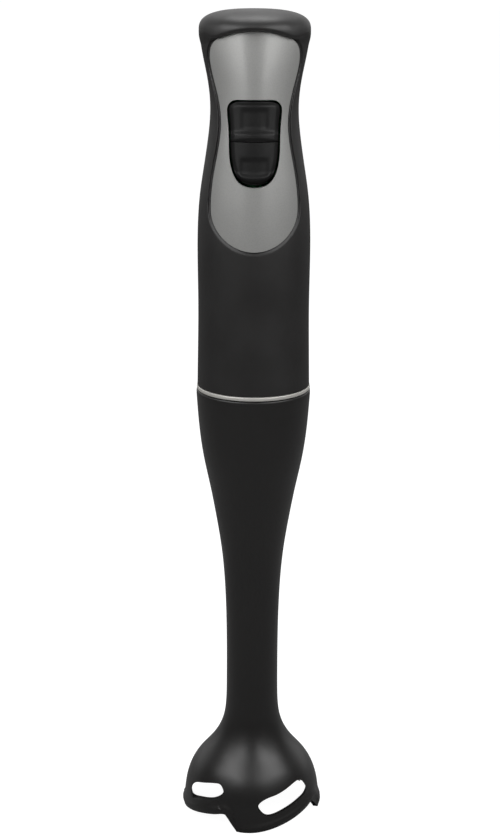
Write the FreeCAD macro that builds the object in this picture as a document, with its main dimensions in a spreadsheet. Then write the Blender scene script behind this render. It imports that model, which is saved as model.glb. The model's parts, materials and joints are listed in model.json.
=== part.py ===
"""Immersion blender: handle, twist-lock drive shaft and blade guard, as a parametric document.

Millimetres. Z up, origin under the guard's feet on the shaft's axis, the buttons face -Y.
"""
import FreeCAD, Part
import math
import os

import Sketcher

V = FreeCAD.Vector

SIZES = {
    # Guard
    "guard_rim": 32.0, "guard_side": 31.4, "guard_side_top": 6.0,
    "guard_waist": 20.5, "guard_waist_top": 30.0, "neck": 11.6, "neck_top": 58.0,
    "guard_round": 35.0, "neck_round": 38.0,
    "cavity_rim": 30.1, "cavity_side": 29.6, "cavity_crown": 16.5, "cavity_top": 31.0,
    "cavity_round": 31.8, "cavity_flat": 9.5, "segments": 4, "segment_turn": 43.0,
    "window_low_x": -14.5, "window_low_z": 10.9, "window_high_x": 7.8, "window_high_z": 16.2,
    "window_half": 4.2,
    "scoop_start": -18.1, "scoop_bend": 7.2, "scoop_bend_z": 2.07, "scoop_peak_start": 9.4,
    "scoop_peak_end": 14.4, "scoop_end": 17.9, "scoop_height": 7.4, "scoop_foot": 0.3,
    "cavity_break": 1.2, "shoulder_break": 0.5, "side_cut": 40.0,
    # Clearances, and how far a cutter or a buried root reaches past a face
    "fit_gap": 0.05, "seam_gap": 0.1, "seal_gap": 0.2, "past": 1.0, "root": 0.5,
    # Bearings in the wand
    "lower_bush_low": 35.0, "tube_inner": 4.6, "tube_outer": 6.4, "tube_top": 181.8,
    "upper_bush_low": 182.0, "upper_bush_outer": 6.0, "upper_bush_lip": 7.4,
    "upper_bush_lip_low": 190.4, "upper_bush_top": 191.9, "plate_low": 184.0, "plate_high": 187.0,
    "plate_rim_low": 20.7, "plate_rim_high": 20.9, "plate_boss": 9.0, "plate_boss_top": 190.3,
    "plate_hole": 3.6, "plate_hole_at": 14.5, "plate_holes": 6,
    # Shaft and shoulder
    "shaft_top": 80.0, "cone_low": 16.3, "cone_low_z": 143.0, "cone_high": 21.8, "cone_high_z": 171.4,
    "shoulder": 25.0, "shoulder_z": 200.6, "shaft_round": 357.0, "shoulder_round": 270.0,
    "wand_top": 202.7, "shaft_inner": 9.4, "shaft_floor": 46.0, "cone_inner": 14.1,
    "cone_inner_high": 19.6, "spigot_seat": 22.4, "spigot_seat_z": 196.0,
    # Twist lock
    "spigot_outer": 18.5, "spigot_inner": 15.5, "spigot_top": 212.9, "flange": 22.3,
    "lug_outer": 20.0, "lug_low": 209.0, "lug_height": 2.5, "lug_width": 7.6,
    "key_width": 3.0, "key_tip": 17.6, "groove_width": 3.6, "groove_floor": 17.2,
    "ring_low": 203.0, "ring_high": 204.5, "ring_outer": 24.6,
    "key_ring_inner": 20.3, "key_ring_outer": 21.4, "key_ring_top": 207.0,
    "lugs": 3, "lug_inset": 0.4, "ring_inset": 0.25, "ring_bulge": 1.4,
    "socket_low": 207.3, "ledge_top": 208.7, "socket_roof": 214.0, "socket_top": 216.2,
    "socket_outer": 21.5, "ledge_inner": 18.7, "socket_hole": 9.0, "slot_width": 9.6,
    "seal_inner": 15.8, "seal_outer": 18.3, "seal_low": 213.0,
    # Handle shells
    "wall": 2.2, "crown_low": 357.2, "crown_radius": 23.2, "crown_top": 366.0,
    "crown_power": 2.8, "shell_overlap": 5.0, "panel_depth": 0.9, "button_gap": 0.35,
    "button_proud": 1.1, "button_split": 313.15, "button_thick": 3.9, "flange_reach": 1.0,
    # Motor
    "can_outer": 19.5, "can_wall": 1.6, "can_low": 222.0, "can_top": 272.0, "shaft_radius": 2.5,
    "motor_shaft_low": 212.0, "motor_shaft_top": 287.0, "motor_bearing": 5.0,
    "can_boss": 8.5, "can_boss_depth": 3.0, "can_floor": 2.0, "end_plate": 3.0, "end_boss": 4.6,
    "mount_hole": 9.2, "mount_rim": 1.6, "mount_depth": 4.6, "mount_band": 1.8,
    "mount_band_low": 10.0, "mount_band_high": 4.0, "magnet_gap": 3.0,
    "rotor_radius": 12.2, "rotor_low": 232.0, "rotor_top": 257.0, "commutator_radius": 6.5,
    "magnet_inner": 12.8, "magnet_outer": 17.8, "magnet_low": 229.0, "magnet_height": 31.0,
    "core_slot_floor": 8.2, "core_slot_half": 0.9, "core_slots": 12,
    "winding_side": 9.0, "winding_outer": 10.8, "winding_height": 3.5, "winding_crest": 1.8,
    "commutator_low": 261.0, "commutator_top": 270.5, "bar_gap_depth": 0.8, "bar_gap_half": 0.2,
    "fan_radius": 15.6, "fan_low": 277.6, "fan_height": 7.4, "fan_blades": 11, "fan_plate": 1.2,
    "fan_boss": 5.0, "vane_root": 4.5, "vane_root_low": 1.0, "vane_root_high": 2.1,
    "vane_tip_low": 2.2, "vane_tip_high": 1.0, "vane_inset": 0.3,
    "holder_start": 8.6, "holder_length": 7.6, "holder_size": 6.4, "holder_wall": 1.0,
    "holder_low": 262.5, "brush_start": 6.85, "brush_length": 6.0, "brush_size": 4.2,
    "brush_spring_radius": 1.5, "brush_spring_wire": 0.2, "brush_spring_length": 3.0,
    "brush_spring_gap": 0.25,
    # Electronics and buttons
    "board_half": 12.0, "board_low": 291.0, "board_top": 346.0, "board_front": -6.0,
    "board_thick": 1.6, "switch_front": -12.0, "switch_half": 6.4, "switch_size": 6.0,
    "low_switch_z": 303.0, "high_switch_z": 322.0, "plunger": 1.2, "plunger_hole": 1.45,
    "plunger_hole_depth": 5.0, "plunger_length": 4.4,
    "post": 1.6, "post_end": -14.4, "spring_seat": -15.5, "spring_radius": 2.45, "spring_wire": 0.25,
    "carrier_rim": 0.8, "carrier_low": 2.2, "carrier_thick": 1.8, "carrier_window": 9.5,
    "carrier_window_low": 3.0, "carrier_bridge": 14.0,
    "capacitor_half": 8.6, "capacitor_low": 4.0, "capacitor_deep": 11.0, "capacitor_tall": 12.5,
    "rectifier_half": 7.5, "rectifier_z": 310.0, "rectifier_deep": 4.2, "rectifier_tall": 8.5,
    "choke_radius": 5.0, "choke_wire": 2.2, "choke_z": 327.0, "lead_radius": 0.8,
    "button_boss": 3.4, "button_boss_length": 4.5, "button_side": 0.6, "dish_depth": 0.5,
    "split_gap": 0.15, "panel_side": 0.4,
    # Cord inlet and screws
    "inlet_z": 344.0, "inlet_bore": 3.4, "inlet_inner": 12.0, "inlet_outer": 25.6,
    "inlet_body": 6.4, "clamp_front": 6.5, "clamp_thick": 3.6,
    "screw_low_x": 15.5, "screw_low_z": 289.5, "screw_high_x": 13.0, "screw_high_z": 352.5,
    "screw_shank": 1.4, "screw_head": 2.8, "screw_seat": 12.0, "screw_front": -8.0,
    "screw_head_length": 2.2, "front_post": 3.2, "rear_post": 4.4, "plug": 3.0, "plug_depth": 2.6,
    "sleeve_flange": 1.6, "sleeve_flange_thick": 2.0, "sleeve_taper": 3.0,
    "clamp_half": 9.0, "clamp_half_height": 4.6, "clamp_play": 0.4, "clamp_hole": 1.2,
    "clamp_screw_x": 6.6, "clamp_shank": 1.1, "clamp_shank_length": 5.4, "clamp_head": 2.0,
    "clamp_head_length": 1.4,
    # Drive shaft and blade
    "drive_shaft": 3.0, "drive_low": 10.0, "drive_top": 200.0, "bush_outer": 5.95,
    "blade_plane": 13.0, "blade_thick": 1.5, "blade_reach": 23.0, "blade_half": 4.6,
    "wing_up": 5.6, "wing_up_run": 6.5, "wing_up_lean": 1.2, "wing_down": 2.6, "wing_down_run": 7.0,
    "wing_down_lean": 0.4, "grind_start": 6.0, "grind_tip": 1.2, "grind_high": 12.0,
    "blade_hub": 5.2, "blade_hub_neck": 4.4, "blade_hub_neck_z": 20.0, "blade_hub_top": 29.95,
    "nut_tip": 4.6, "nut_outer": 5.2, "nut_round_z": 11.5,
    "washer_outer": 5.4, "washer_low": 30.0, "washer_top": 30.9,
    "clip_outer": 5.2, "clip_low": 192.3, "clip_top": 193.2,
    "coupling_outer": 9.5, "coupling_inner": 8.0, "coupling_low": 193.6, "coupling_floor": 202.0,
    "coupling_top": 207.6, "tang_half": 7.4, "tang_thick": 3.5, "tang_low": 203.0, "hub_low": 209.0,
    "hub_outer": 5.5, "hub_gap": 5.0, "coupling_neck": 6.0, "coupling_cone": 4.0,
    "dog_tip": 2.1, "dog_back": 4.2, "dog_inner": 3.8, "dog_outer": 7.6,
}

# Handle sections from the seam up: height, half width, front depth, back depth.
SECTIONS = [
    (204.8, 24.4, 24.0, 24.4),
    (222.0, 24.2, 23.8, 24.2),
    (242.0, 24.0, 23.8, 23.8),
    (265.0, 24.2, 24.4, 23.6),
    (280.0, 23.8, 23.8, 23.2),
    (295.0, 22.2, 22.5, 22.6),
    (310.0, 19.9, 21.0, 22.0),
    (326.0, 18.6, 19.6, 21.6),
    (340.0, 20.0, 18.9, 22.0),
    (350.0, 22.1, 18.8, 22.8),
    (357.2, 23.0, 19.2, 23.0),
]

# Right half of each front outline, bottom to top; the left half mirrors it.
PANEL = [(0, 267.8), (9.8, 270.5), (16.1, 276.7), (18.4, 285.4), (17.3, 297), (15, 310),
         (13.8, 321.5), (15.4, 332), (18.1, 343.6), (17.7, 351.5), (10.7, 356.2), (0, 356.8)]
BUTTONS = [(0, 294.4), (6.2, 296.2), (9.4, 301.4), (10.7, 314.8), (11.2, 324), (11.1, 328),
           (9.5, 329.6), (0, 330.5)]


# Front corners of the finger dishes: half width, and the heights they run between.
DISHES = {"low": (5.8, 299.0, 306.0), "high": (5.4, 317.0, 326.6)}

# Centre line of the right lead, from the board down to its brush holder.
LEAD_ROUTE = [(9.0, -5.2, 290.2), (9.1, -6.2, 289.2), (9.4, -8.9, 288.1), (10.1, -14.2, 286.6),
              (10.3, -15.4, 281.5), (10.2, -15.4, 277.5), (10.1, -15.2, 275.2)]

SPRING_TURNS = 3
BRUSH_SPRING_TURNS = 4
SPRING_SECTIONS = 12
WIRE_SIDES = 6
CROWN_STEPS = 12

# Lengths that reach past the whole handle.
FAR = 60.0
BELOW = 150.0
ABOVE = 450.0


class Size(float):
    """A length that remembers the sheet formula it comes from."""

    def __new__(cls, number, formula):
        size = float.__new__(cls, number)
        size.formula = formula
        return size

    def __add__(self, other):
        return Size(float(self) + float(other), f"({formula(self)} + {formula(other)})")

    def __sub__(self, other):
        return Size(float(self) - float(other), f"({formula(self)} - {formula(other)})")

    def __mul__(self, factor):
        return Size(float(self) * float(factor), f"({formula(self)} * {formula(factor)})")

    def __truediv__(self, divisor):
        return Size(float(self) / float(divisor), f"({formula(self)} / {formula(divisor)})")

    def __neg__(self):
        return Size(-float(self), f"(0 - {formula(self)})")


def formula(number):
    return getattr(number, "formula", f"({float(number)})")


class Sheet:
    """The driving dimensions, each read as an attribute."""

    def __init__(self, doc):
        sheet = doc.addObject("Spreadsheet::Sheet", "dims")
        for row, (name, number) in enumerate(SIZES.items(), start=1):
            sheet.set(f"A{row}", name)
            sheet.set(f"B{row}", str(number))
            sheet.setAlias(f"B{row}", name)
        doc.recompute()
        for name in SIZES:
            setattr(self, name, Size(getattr(sheet, name), f"dims.{name}"))


doc = FreeCAD.newDocument("immersion_blender")
d = Sheet(doc)


# ---------------------------------------------------------------- sketches and features

def new_body(name):
    return doc.addObject("PartDesign::Body", name)


def origin_part(body, role):
    return next(item for item in body.Origin.OriginFeatures if item.Role == role)


def new_sketch(body, name, role="XZ_Plane", height=None, turn=0.0):
    """Makes a sketch on an origin plane, lifted to a height or turned about Z."""
    sketch = body.newObject("Sketcher::SketchObject", name)
    sketch.AttachmentSupport = [(origin_part(body, role), "")]
    sketch.MapMode = "FlatFace"
    if turn:
        sketch.AttachmentOffset = FreeCAD.Placement(V(), FreeCAD.Rotation(V(0, 1, 0), turn))
    if height is not None:
        sketch.AttachmentOffset = FreeCAD.Placement(V(0, 0, height), FreeCAD.Rotation())
        sketch.setExpression("AttachmentOffset.Base.z", formula(height))
    return sketch


def constrain(sketch, rules):
    """Adds (kind, targets, size) rules in one go, and binds each size to the sheet."""
    made = [Sketcher.Constraint(kind, *targets) if size is None
            else Sketcher.Constraint(kind, *targets, float(size)) for kind, targets, size in rules]
    first = sketch.ConstraintCount
    sketch.addConstraint(made)
    for index, (_, _, size) in enumerate(rules, start=first):
        if isinstance(size, Size):
            sketch.setExpression(f"Constraints[{index}]", size.formula)


def pinned(edge, corner, x, y):
    """The rules that place one point of an edge; on an axis where a distance is zero."""
    across = ("PointOnObject", (edge, corner, -2), None) if x == 0 else (
        "DistanceX", (-1, 1, edge, corner), x)
    up = ("PointOnObject", (edge, corner, -1), None) if y == 0 else (
        "DistanceY", (-1, 1, edge, corner), y)
    return [across, up]


def arc_between(start, end, radius):
    """The arc from start to end; a positive radius bulges to the right of the way taken.

    A sketch keeps arcs anticlockwise, so one that bulges left is drawn from its end.
    """
    chord = end - start
    side = V(chord.y, -chord.x).normalize()
    rise = abs(radius) - math.sqrt(radius ** 2 - chord.Length ** 2 / 4)
    crest = (start + end) * 0.5 + side * math.copysign(rise, radius)
    return Part.Arc(start, crest, end) if radius > 0 else Part.Arc(end, crest, start)


def trace(sketch, path):
    """Draws a closed outline. A step is (x, y), or (x, y, radius) where an arc leaves it."""
    corners = [V(float(step[0]), float(step[1])) for step in path]
    edges, rules = [], []
    for index, step in enumerate(path):
        here, there = corners[index], corners[(index + 1) % len(path)]
        if len(step) == 2:
            edge = sketch.addGeometry(Part.LineSegment(here, there))
        else:
            edge = sketch.addGeometry(arc_between(here, there, float(step[2])))
            radius = step[2] if step[2] > 0 else -step[2]
            rules.append(("Radius", (edge,), radius))
        forwards = (sketch.Geometry[edge].StartPoint - here).Length < 1e-6
        edges.append((edge, (1, 2) if forwards else (2, 1)))
    for index, (edge, ends) in enumerate(edges):
        following, following_ends = edges[(index + 1) % len(edges)]
        rules.append(("Coincident", (edge, ends[1], following, following_ends[0]), None))
        rules.extend(pinned(edge, ends[0], path[index][0], path[index][1]))
    constrain(sketch, rules)


def circle(sketch, x, y, radius):
    edge = sketch.addGeometry(Part.Circle(V(float(x), float(y)), V(0, 0, 1), float(radius)))
    constrain(sketch, pinned(edge, 3, x, y) + [("Radius", (edge,), radius)])


def turned(name, path):
    """A piece turned about Z from its half section in X and Z."""
    body = new_body(name)
    sketch = new_sketch(body, f"{name}_section")
    trace(sketch, path)
    turn = body.newObject("PartDesign::Revolution", f"{name}_turn")
    turn.Profile = sketch
    turn.ReferenceAxis = (sketch, ["V_Axis"])
    turn.Angle = 360
    doc.recompute()
    return body


def tube(name, inner, outer, low, high):
    return turned(name, [(inner, low), (outer, low), (outer, high), (inner, high)])


def padded(body, name, sketch, length, reversed_way=False):
    pad = body.newObject("PartDesign::Pad", name)
    pad.Profile = sketch
    pad.setExpression("Length", formula(length))
    pad.Reversed = reversed_way
    doc.recompute()
    return pad


def pocketed(body, name, sketch, depth, reversed_way=False):
    before = body.Shape.Volume
    pocket = body.newObject("PartDesign::Pocket", name)
    pocket.Profile = sketch
    pocket.setExpression("Length", formula(depth))
    pocket.Reversed = reversed_way
    doc.recompute()
    assert body.Shape.Volume < before - 0.01, f"{name} cuts nothing"
    return pocket


def repeated(body, name, features, count):
    """Repeats features round Z, evenly over a full turn."""
    pattern = body.newObject("PartDesign::PolarPattern", name)
    pattern.Originals = features
    pattern.Axis = (origin_part(body, "Z_Axis"), [""])
    pattern.Angle = 360
    pattern.setExpression("Occurrences", formula(count))
    body.Tip = pattern
    doc.recompute()
    return pattern


def slab(x_low, x_high, y_low, y_high):
    return [(x_low, y_low), (x_high, y_low), (x_high, y_high), (x_low, y_high)]


def block(name, low, size):
    """A Part box with its corner and sides bound to the sheet."""
    box = doc.addObject("Part::Box", name)
    for side, length in zip(("Length", "Width", "Height"), size):
        box.setExpression(side, formula(length))
    for axis, place in zip("xyz", low):
        box.setExpression(f"Placement.Base.{axis}", formula(place))
    return box


def rod(name, radius, length, base, along="z"):
    """A Part cylinder from base, along +Z or +Y."""
    cylinder = doc.addObject("Part::Cylinder", name)
    cylinder.setExpression("Radius", formula(radius))
    cylinder.setExpression("Height", formula(length))
    if along == "y":
        cylinder.Placement = FreeCAD.Placement(V(), FreeCAD.Rotation(V(1, 0, 0), -90))
    for axis, place in zip("xyz", base):
        cylinder.setExpression(f"Placement.Base.{axis}", formula(place))
    return cylinder


def cut(name, base, tool):
    result = doc.addObject("Part::Cut", name)
    result.Base = base
    result.Tool = tool
    return result


def fused(name, pieces):
    result = doc.addObject("Part::MultiFuse", name)
    result.Shapes = pieces
    return result


def grouped(name, pieces):
    """One node for several like pieces that don't touch."""
    result = doc.addObject("Part::Compound", name)
    result.Links = pieces
    return result


def shaped(name, shape):
    """A node whose form comes from Part's own functions."""
    item = doc.addObject("Part::Feature", name)
    item.Shape = shape
    return item


# ---------------------------------------------------------------- guard, shaft and shoulder

def wand_housing():
    body = turned("wand_housing", [
        (d.guard_rim, 0),
        (d.guard_side, d.guard_side_top, d.guard_round),
        (d.guard_waist, d.guard_waist_top, -d.neck_round),
        (d.neck, d.neck_top),
        (d.neck, d.shaft_top, -d.shaft_round),
        (d.cone_low, d.cone_low_z),
        (d.cone_high, d.cone_high_z, d.shoulder_round),
        (d.shoulder, d.shoulder_z),
        (d.shoulder - d.shoulder_break, d.wand_top),
        (d.spigot_seat, d.wand_top),
        (d.spigot_seat, d.spigot_seat_z),
        (d.cone_inner_high, d.cone_high_z),
        (d.cone_inner, d.cone_low_z),
        (d.shaft_inner, d.shaft_top),
        (d.shaft_inner, d.shaft_floor),
        (d.bush_outer + d.fit_gap, d.shaft_floor),
        (d.bush_outer + d.fit_gap, d.cavity_top),
        (d.cavity_flat, d.cavity_top),
        (d.cavity_crown, d.cavity_top - d.cavity_break, -d.cavity_round),
        (d.cavity_side, d.guard_side_top),
        (d.cavity_rim, 0),
    ])
    window = new_sketch(body, "window_outline", turn=float(d.segment_turn))
    slope = math.atan2(d.window_high_z - d.window_low_z, d.window_high_x - d.window_low_x)
    up_x = d.window_half * -math.sin(slope)
    up_z = d.window_half * math.cos(slope)
    end_round = d.window_half * 1.001
    trace(window, [
        (d.window_low_x - up_x, d.window_low_z - up_z),
        (d.window_high_x - up_x, d.window_high_z - up_z, end_round),
        (d.window_high_x + up_x, d.window_high_z + up_z),
        (d.window_low_x + up_x, d.window_low_z + up_z, end_round),
    ])
    window_cut = pocketed(body, "window_cut", window, d.side_cut, reversed_way=True)
    scoop = new_sketch(body, "scoop_outline", turn=float(d.segment_turn))
    trace(scoop, [
        (d.scoop_start, -d.past),
        (d.scoop_start, d.fit_gap),
        (d.scoop_start + d.scoop_bend, d.scoop_bend_z),
        (d.scoop_peak_start, d.scoop_height),
        (d.scoop_peak_end, d.scoop_height - d.seal_gap),
        (d.scoop_end, d.scoop_foot),
        (d.scoop_end, -d.past),
    ])
    scoop_cut = pocketed(body, "scoop_cut", scoop, d.side_cut, reversed_way=True)
    repeated(body, "swirl", [window_cut, scoop_cut], d.segments)
    return body


def wand_bearings():
    bore = d.drive_shaft + d.fit_gap
    tube("lower_bush", bore, d.bush_outer, d.lower_bush_low, d.shaft_floor - d.seam_gap)
    tube("shaft_seal", bore, d.bush_outer, d.cavity_top + d.seal_gap, d.lower_bush_low - d.seal_gap)
    tube("bearing_tube", d.tube_inner, d.tube_outer, d.shaft_floor + d.seam_gap, d.tube_top)
    turned("upper_bush", [
        (bore, d.upper_bush_low),
        (d.upper_bush_outer, d.upper_bush_low),
        (d.upper_bush_outer, d.upper_bush_lip_low),
        (d.upper_bush_lip, d.upper_bush_lip_low),
        (d.upper_bush_lip, d.upper_bush_top),
        (bore, d.upper_bush_top),
    ])
    plate = turned("bearing_plate", [
        (d.upper_bush_outer + d.fit_gap, d.plate_low),
        (d.plate_rim_low, d.plate_low),
        (d.plate_rim_high, d.plate_high),
        (d.plate_boss, d.plate_high),
        (d.plate_boss, d.plate_boss_top),
        (d.upper_bush_outer + d.fit_gap, d.plate_boss_top),
    ])
    hole = new_sketch(plate, "plate_hole", "XY_Plane", d.plate_high + d.past)
    circle(hole, d.plate_hole_at, 0, d.plate_hole)
    holes = pocketed(plate, "plate_hole_cut", hole, d.plate_high - d.plate_low + d.past * 2)
    repeated(plate, "plate_holes", [holes], d.plate_holes)


def bayonet_collar():
    """The spigot with three lugs, and three grooves for the lock ring's keys."""
    flange_top = d.wand_top - d.seal_gap - d.seam_gap
    body = turned("bayonet_collar", [
        (d.spigot_inner, d.spigot_seat_z),
        (d.flange, d.spigot_seat_z),
        (d.flange, flange_top),
        (d.spigot_outer, flange_top),
        (d.spigot_outer, d.spigot_top),
        (d.spigot_inner, d.spigot_top),
    ])
    lug = new_sketch(body, "lug_outline", "XY_Plane", d.lug_low)
    trace(lug, slab(d.spigot_outer - d.past, d.lug_outer - d.lug_inset, -d.lug_width / 2, d.lug_width / 2))
    lugs = padded(body, "lug", lug, d.lug_height)
    repeated(body, "lugs", [lugs], d.lugs)
    groove = new_sketch(body, "groove_outline", "XY_Plane", d.spigot_top + d.past)
    trace(groove, slab(-(d.lug_outer + d.past), -d.groove_floor, -d.groove_width / 2, d.groove_width / 2))
    groove_cut = pocketed(body, "groove_cut", groove, d.spigot_top - d.wand_top + d.past + d.seal_gap)
    repeated(body, "grooves", [groove_cut], d.lugs)


def lock_ring():
    """The chrome band, and the ring behind it whose keys turn with the shaft."""
    edge = d.ring_outer - d.ring_inset
    turned("trim_ring", [
        (d.key_ring_outer + d.fit_gap, d.ring_low),
        (edge, d.ring_low, d.ring_bulge),
        (edge, d.ring_high),
        (d.key_ring_outer + d.fit_gap, d.ring_high),
    ])
    body = tube("key_ring", d.key_ring_inner, d.key_ring_outer, d.ring_low, d.key_ring_top)
    key = new_sketch(body, "key_outline", "XY_Plane", d.ring_low)
    trace(key, slab(-(d.key_ring_inner + d.root), -d.key_tip, -d.key_width / 2, d.key_width / 2))
    keys = padded(body, "key", key, d.key_ring_top - d.ring_low)
    repeated(body, "keys", [keys], d.lugs)


def wand_socket():
    pocket = d.lug_outer + d.seal_gap + d.seam_gap
    body = turned("wand_socket", [
        (d.ledge_inner, d.socket_low),
        (d.socket_outer, d.socket_low),
        (d.socket_outer, d.socket_top),
        (d.socket_hole, d.socket_top),
        (d.socket_hole, d.socket_roof),
        (pocket, d.socket_roof),
        (pocket, d.ledge_top),
        (d.ledge_inner, d.ledge_top),
    ])
    slot = new_sketch(body, "slot_outline", "XY_Plane", d.ledge_top)
    trace(slot, slab(d.ledge_inner - d.past, pocket, -d.slot_width / 2, d.slot_width / 2))
    slots = pocketed(body, "slot_cut", slot, d.ledge_top - d.socket_low)
    repeated(body, "slots", [slots], d.lugs)
    tube("socket_seal", d.seal_inner, d.seal_outer, d.seal_low, d.socket_roof)


# ---------------------------------------------------------------- drive shaft and blade

def drive_line():
    tube("drive_shaft", 0, d.drive_shaft, d.drive_low, d.drive_top)
    coupling = turned("driven_coupling", [
        (d.drive_shaft, d.coupling_low),
        (d.coupling_neck, d.coupling_low),
        (d.coupling_outer, d.coupling_low + d.coupling_cone),
        (d.coupling_outer, d.coupling_top),
        (d.coupling_inner, d.coupling_top),
        (d.coupling_inner, d.coupling_floor),
        (0, d.coupling_floor),
        (0, d.drive_top),
        (d.drive_shaft, d.drive_top),
    ])
    dog = new_sketch(coupling, "dog_outline", "XY_Plane", d.coupling_floor - d.root)
    trace(dog, [(-d.dog_tip, d.dog_inner), (d.dog_tip, d.dog_inner),
                (d.dog_back, d.dog_outer), (-d.dog_back, d.dog_outer)])
    dogs = padded(coupling, "dog", dog, d.coupling_top - d.coupling_floor)
    repeated(coupling, "dogs", [dogs], 2)
    tube("shaft_clip", d.drive_shaft, d.clip_outer, d.clip_low, d.clip_top)
    tube("thrust_washer", d.drive_shaft, d.washer_outer, d.washer_low, d.washer_top)
    turned("blade_hub", [
        (d.drive_shaft, d.blade_plane + d.blade_thick + d.fit_gap),
        (d.blade_hub, d.blade_plane + d.blade_thick + d.fit_gap),
        (d.blade_hub_neck, d.blade_hub_neck_z),
        (d.blade_hub, d.blade_hub_top),
        (d.drive_shaft, d.blade_hub_top),
    ])
    turned("blade_nut", [
        (d.drive_shaft, d.drive_low),
        (d.nut_tip, d.drive_low),
        (d.nut_outer, d.nut_round_z),
        (d.nut_outer, d.blade_plane - d.fit_gap),
        (d.drive_shaft, d.blade_plane - d.fit_gap),
    ])


def blade():
    """A pressed strip with one wing turned up and one turned down, ground to a taper."""
    body = new_body("blade")
    strip = new_sketch(body, "blade_strip")
    low = d.blade_plane
    high = d.blade_plane + d.blade_thick
    up_bend = d.blade_reach - d.wing_up_run
    down_bend = d.blade_reach - d.wing_down_run
    trace(strip, [
        (-d.blade_reach, low + d.wing_up),
        (-up_bend, low),
        (down_bend, low),
        (d.blade_reach, low - d.wing_down),
        (d.blade_reach + d.wing_down_lean, high - d.wing_down),
        (down_bend, high),
        (-(up_bend + d.root), high),
        (-(d.blade_reach - d.wing_up_lean), low + d.wing_up + d.past),
    ])
    pad = padded(body, "blade_press", strip, d.blade_half * 2)
    pad.SideType = "Symmetric"
    doc.recompute()
    taper = new_sketch(body, "blade_taper", "XY_Plane", low + d.grind_high)
    tip = d.blade_reach + d.past
    edge = -d.blade_half - d.seam_gap
    trace(taper, [(d.grind_start, edge), (tip, edge), (tip, -d.grind_tip)])
    ground = pocketed(body, "blade_grind", taper, d.grind_high * 2)
    repeated(body, "blade_edges", [ground], 2)
    bore = new_sketch(body, "blade_bore", "XY_Plane", high + d.past)
    circle(bore, 0, 0, d.drive_shaft)
    pocketed(body, "blade_bore_cut", bore, d.blade_thick + d.past * 2)


# ---------------------------------------------------------------- motor

def motor_case():
    bearing = d.motor_bearing + d.fit_gap
    plate_low = d.can_top + d.seam_gap
    boss_top = d.can_top + d.end_boss
    turned("motor_can", [
        (bearing, d.can_low - d.can_boss_depth),
        (d.can_boss, d.can_low - d.can_boss_depth),
        (d.can_boss, d.can_low),
        (d.can_outer, d.can_low),
        (d.can_outer, d.can_top),
        (d.can_outer - d.can_wall, d.can_top),
        (d.can_outer - d.can_wall, d.can_low + d.can_floor),
        (bearing, d.can_low + d.can_floor),
    ])
    turned("motor_end_plate", [
        (bearing, plate_low),
        (d.can_outer, plate_low),
        (d.can_outer, d.can_top + d.end_plate),
        (d.can_boss, d.can_top + d.end_plate),
        (d.can_boss, boss_top),
        (bearing, boss_top),
    ])
    shaft = d.shaft_radius + d.fit_gap
    tube("lower_motor_bearing", shaft, d.motor_bearing,
         d.can_low - d.can_boss_depth + d.seam_gap, d.can_low + d.can_floor - d.seam_gap)
    tube("upper_motor_bearing", shaft, d.motor_bearing, plate_low + d.seam_gap, boss_top - d.seam_gap)
    tube("motor_mount_lower", d.mount_hole, d.can_outer + d.mount_rim,
         d.can_low - d.mount_depth, d.can_low - d.seam_gap)
    tube("motor_mount_upper", d.can_outer + d.fit_gap, d.can_outer + d.mount_band,
         d.can_top - d.mount_band_low, d.can_top - d.mount_band_high)
    magnets()


def magnets():
    """Two curved magnets: a ring with a gap cut right across it."""
    top = d.magnet_low + d.magnet_height
    ring = tube("motor_magnets", d.magnet_inner, d.magnet_outer, d.magnet_low, top)
    gap = new_sketch(ring, "magnet_gap", "XY_Plane", top + d.past)
    reach = d.magnet_outer + d.past
    trace(gap, slab(-d.magnet_gap, d.magnet_gap, -reach, reach))
    pocketed(ring, "magnet_gap_cut", gap, d.magnet_height + d.past * 2)


def rotor():
    tube("motor_shaft", 0, d.shaft_radius, d.motor_shaft_low, d.motor_shaft_top)
    core = tube("rotor_core", d.shaft_radius, d.rotor_radius, d.rotor_low, d.rotor_top)
    slot = new_sketch(core, "core_slot", "XY_Plane", d.rotor_top + d.past)
    trace(slot, slab(d.core_slot_floor, d.rotor_radius + d.past, -d.core_slot_half, d.core_slot_half))
    slots = pocketed(core, "core_slot_cut", slot, d.rotor_top - d.rotor_low + d.past * 2)
    repeated(core, "core_slots", [slots], d.core_slots)
    grouped("rotor_windings", [
        winding("winding_low", d.rotor_low - d.winding_height - d.seam_gap),
        winding("winding_high", d.rotor_top + d.seam_gap),
    ])
    commutator()
    cooling_fan()
    drive_dog()


def winding(name, low):
    """One end of the rotor's coils, as a rounded ring."""
    high = low + d.winding_height
    return turned(name, [
        (d.shaft_radius, low),
        (d.winding_side, low),
        (d.winding_outer, low + d.winding_crest),
        (d.winding_side, high),
        (d.shaft_radius, high),
    ])


def commutator():
    bars = tube("commutator", d.shaft_radius, d.commutator_radius, d.commutator_low, d.commutator_top)
    gap = new_sketch(bars, "bar_gap", "XY_Plane", d.commutator_top + d.past)
    trace(gap, slab(d.commutator_radius - d.bar_gap_depth, d.commutator_radius + d.past,
                    -d.bar_gap_half, d.bar_gap_half))
    gaps = pocketed(bars, "bar_gap_cut", gap, d.commutator_top - d.commutator_low + d.past * 2)
    repeated(bars, "bar_gaps", [gaps], d.core_slots)


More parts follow.
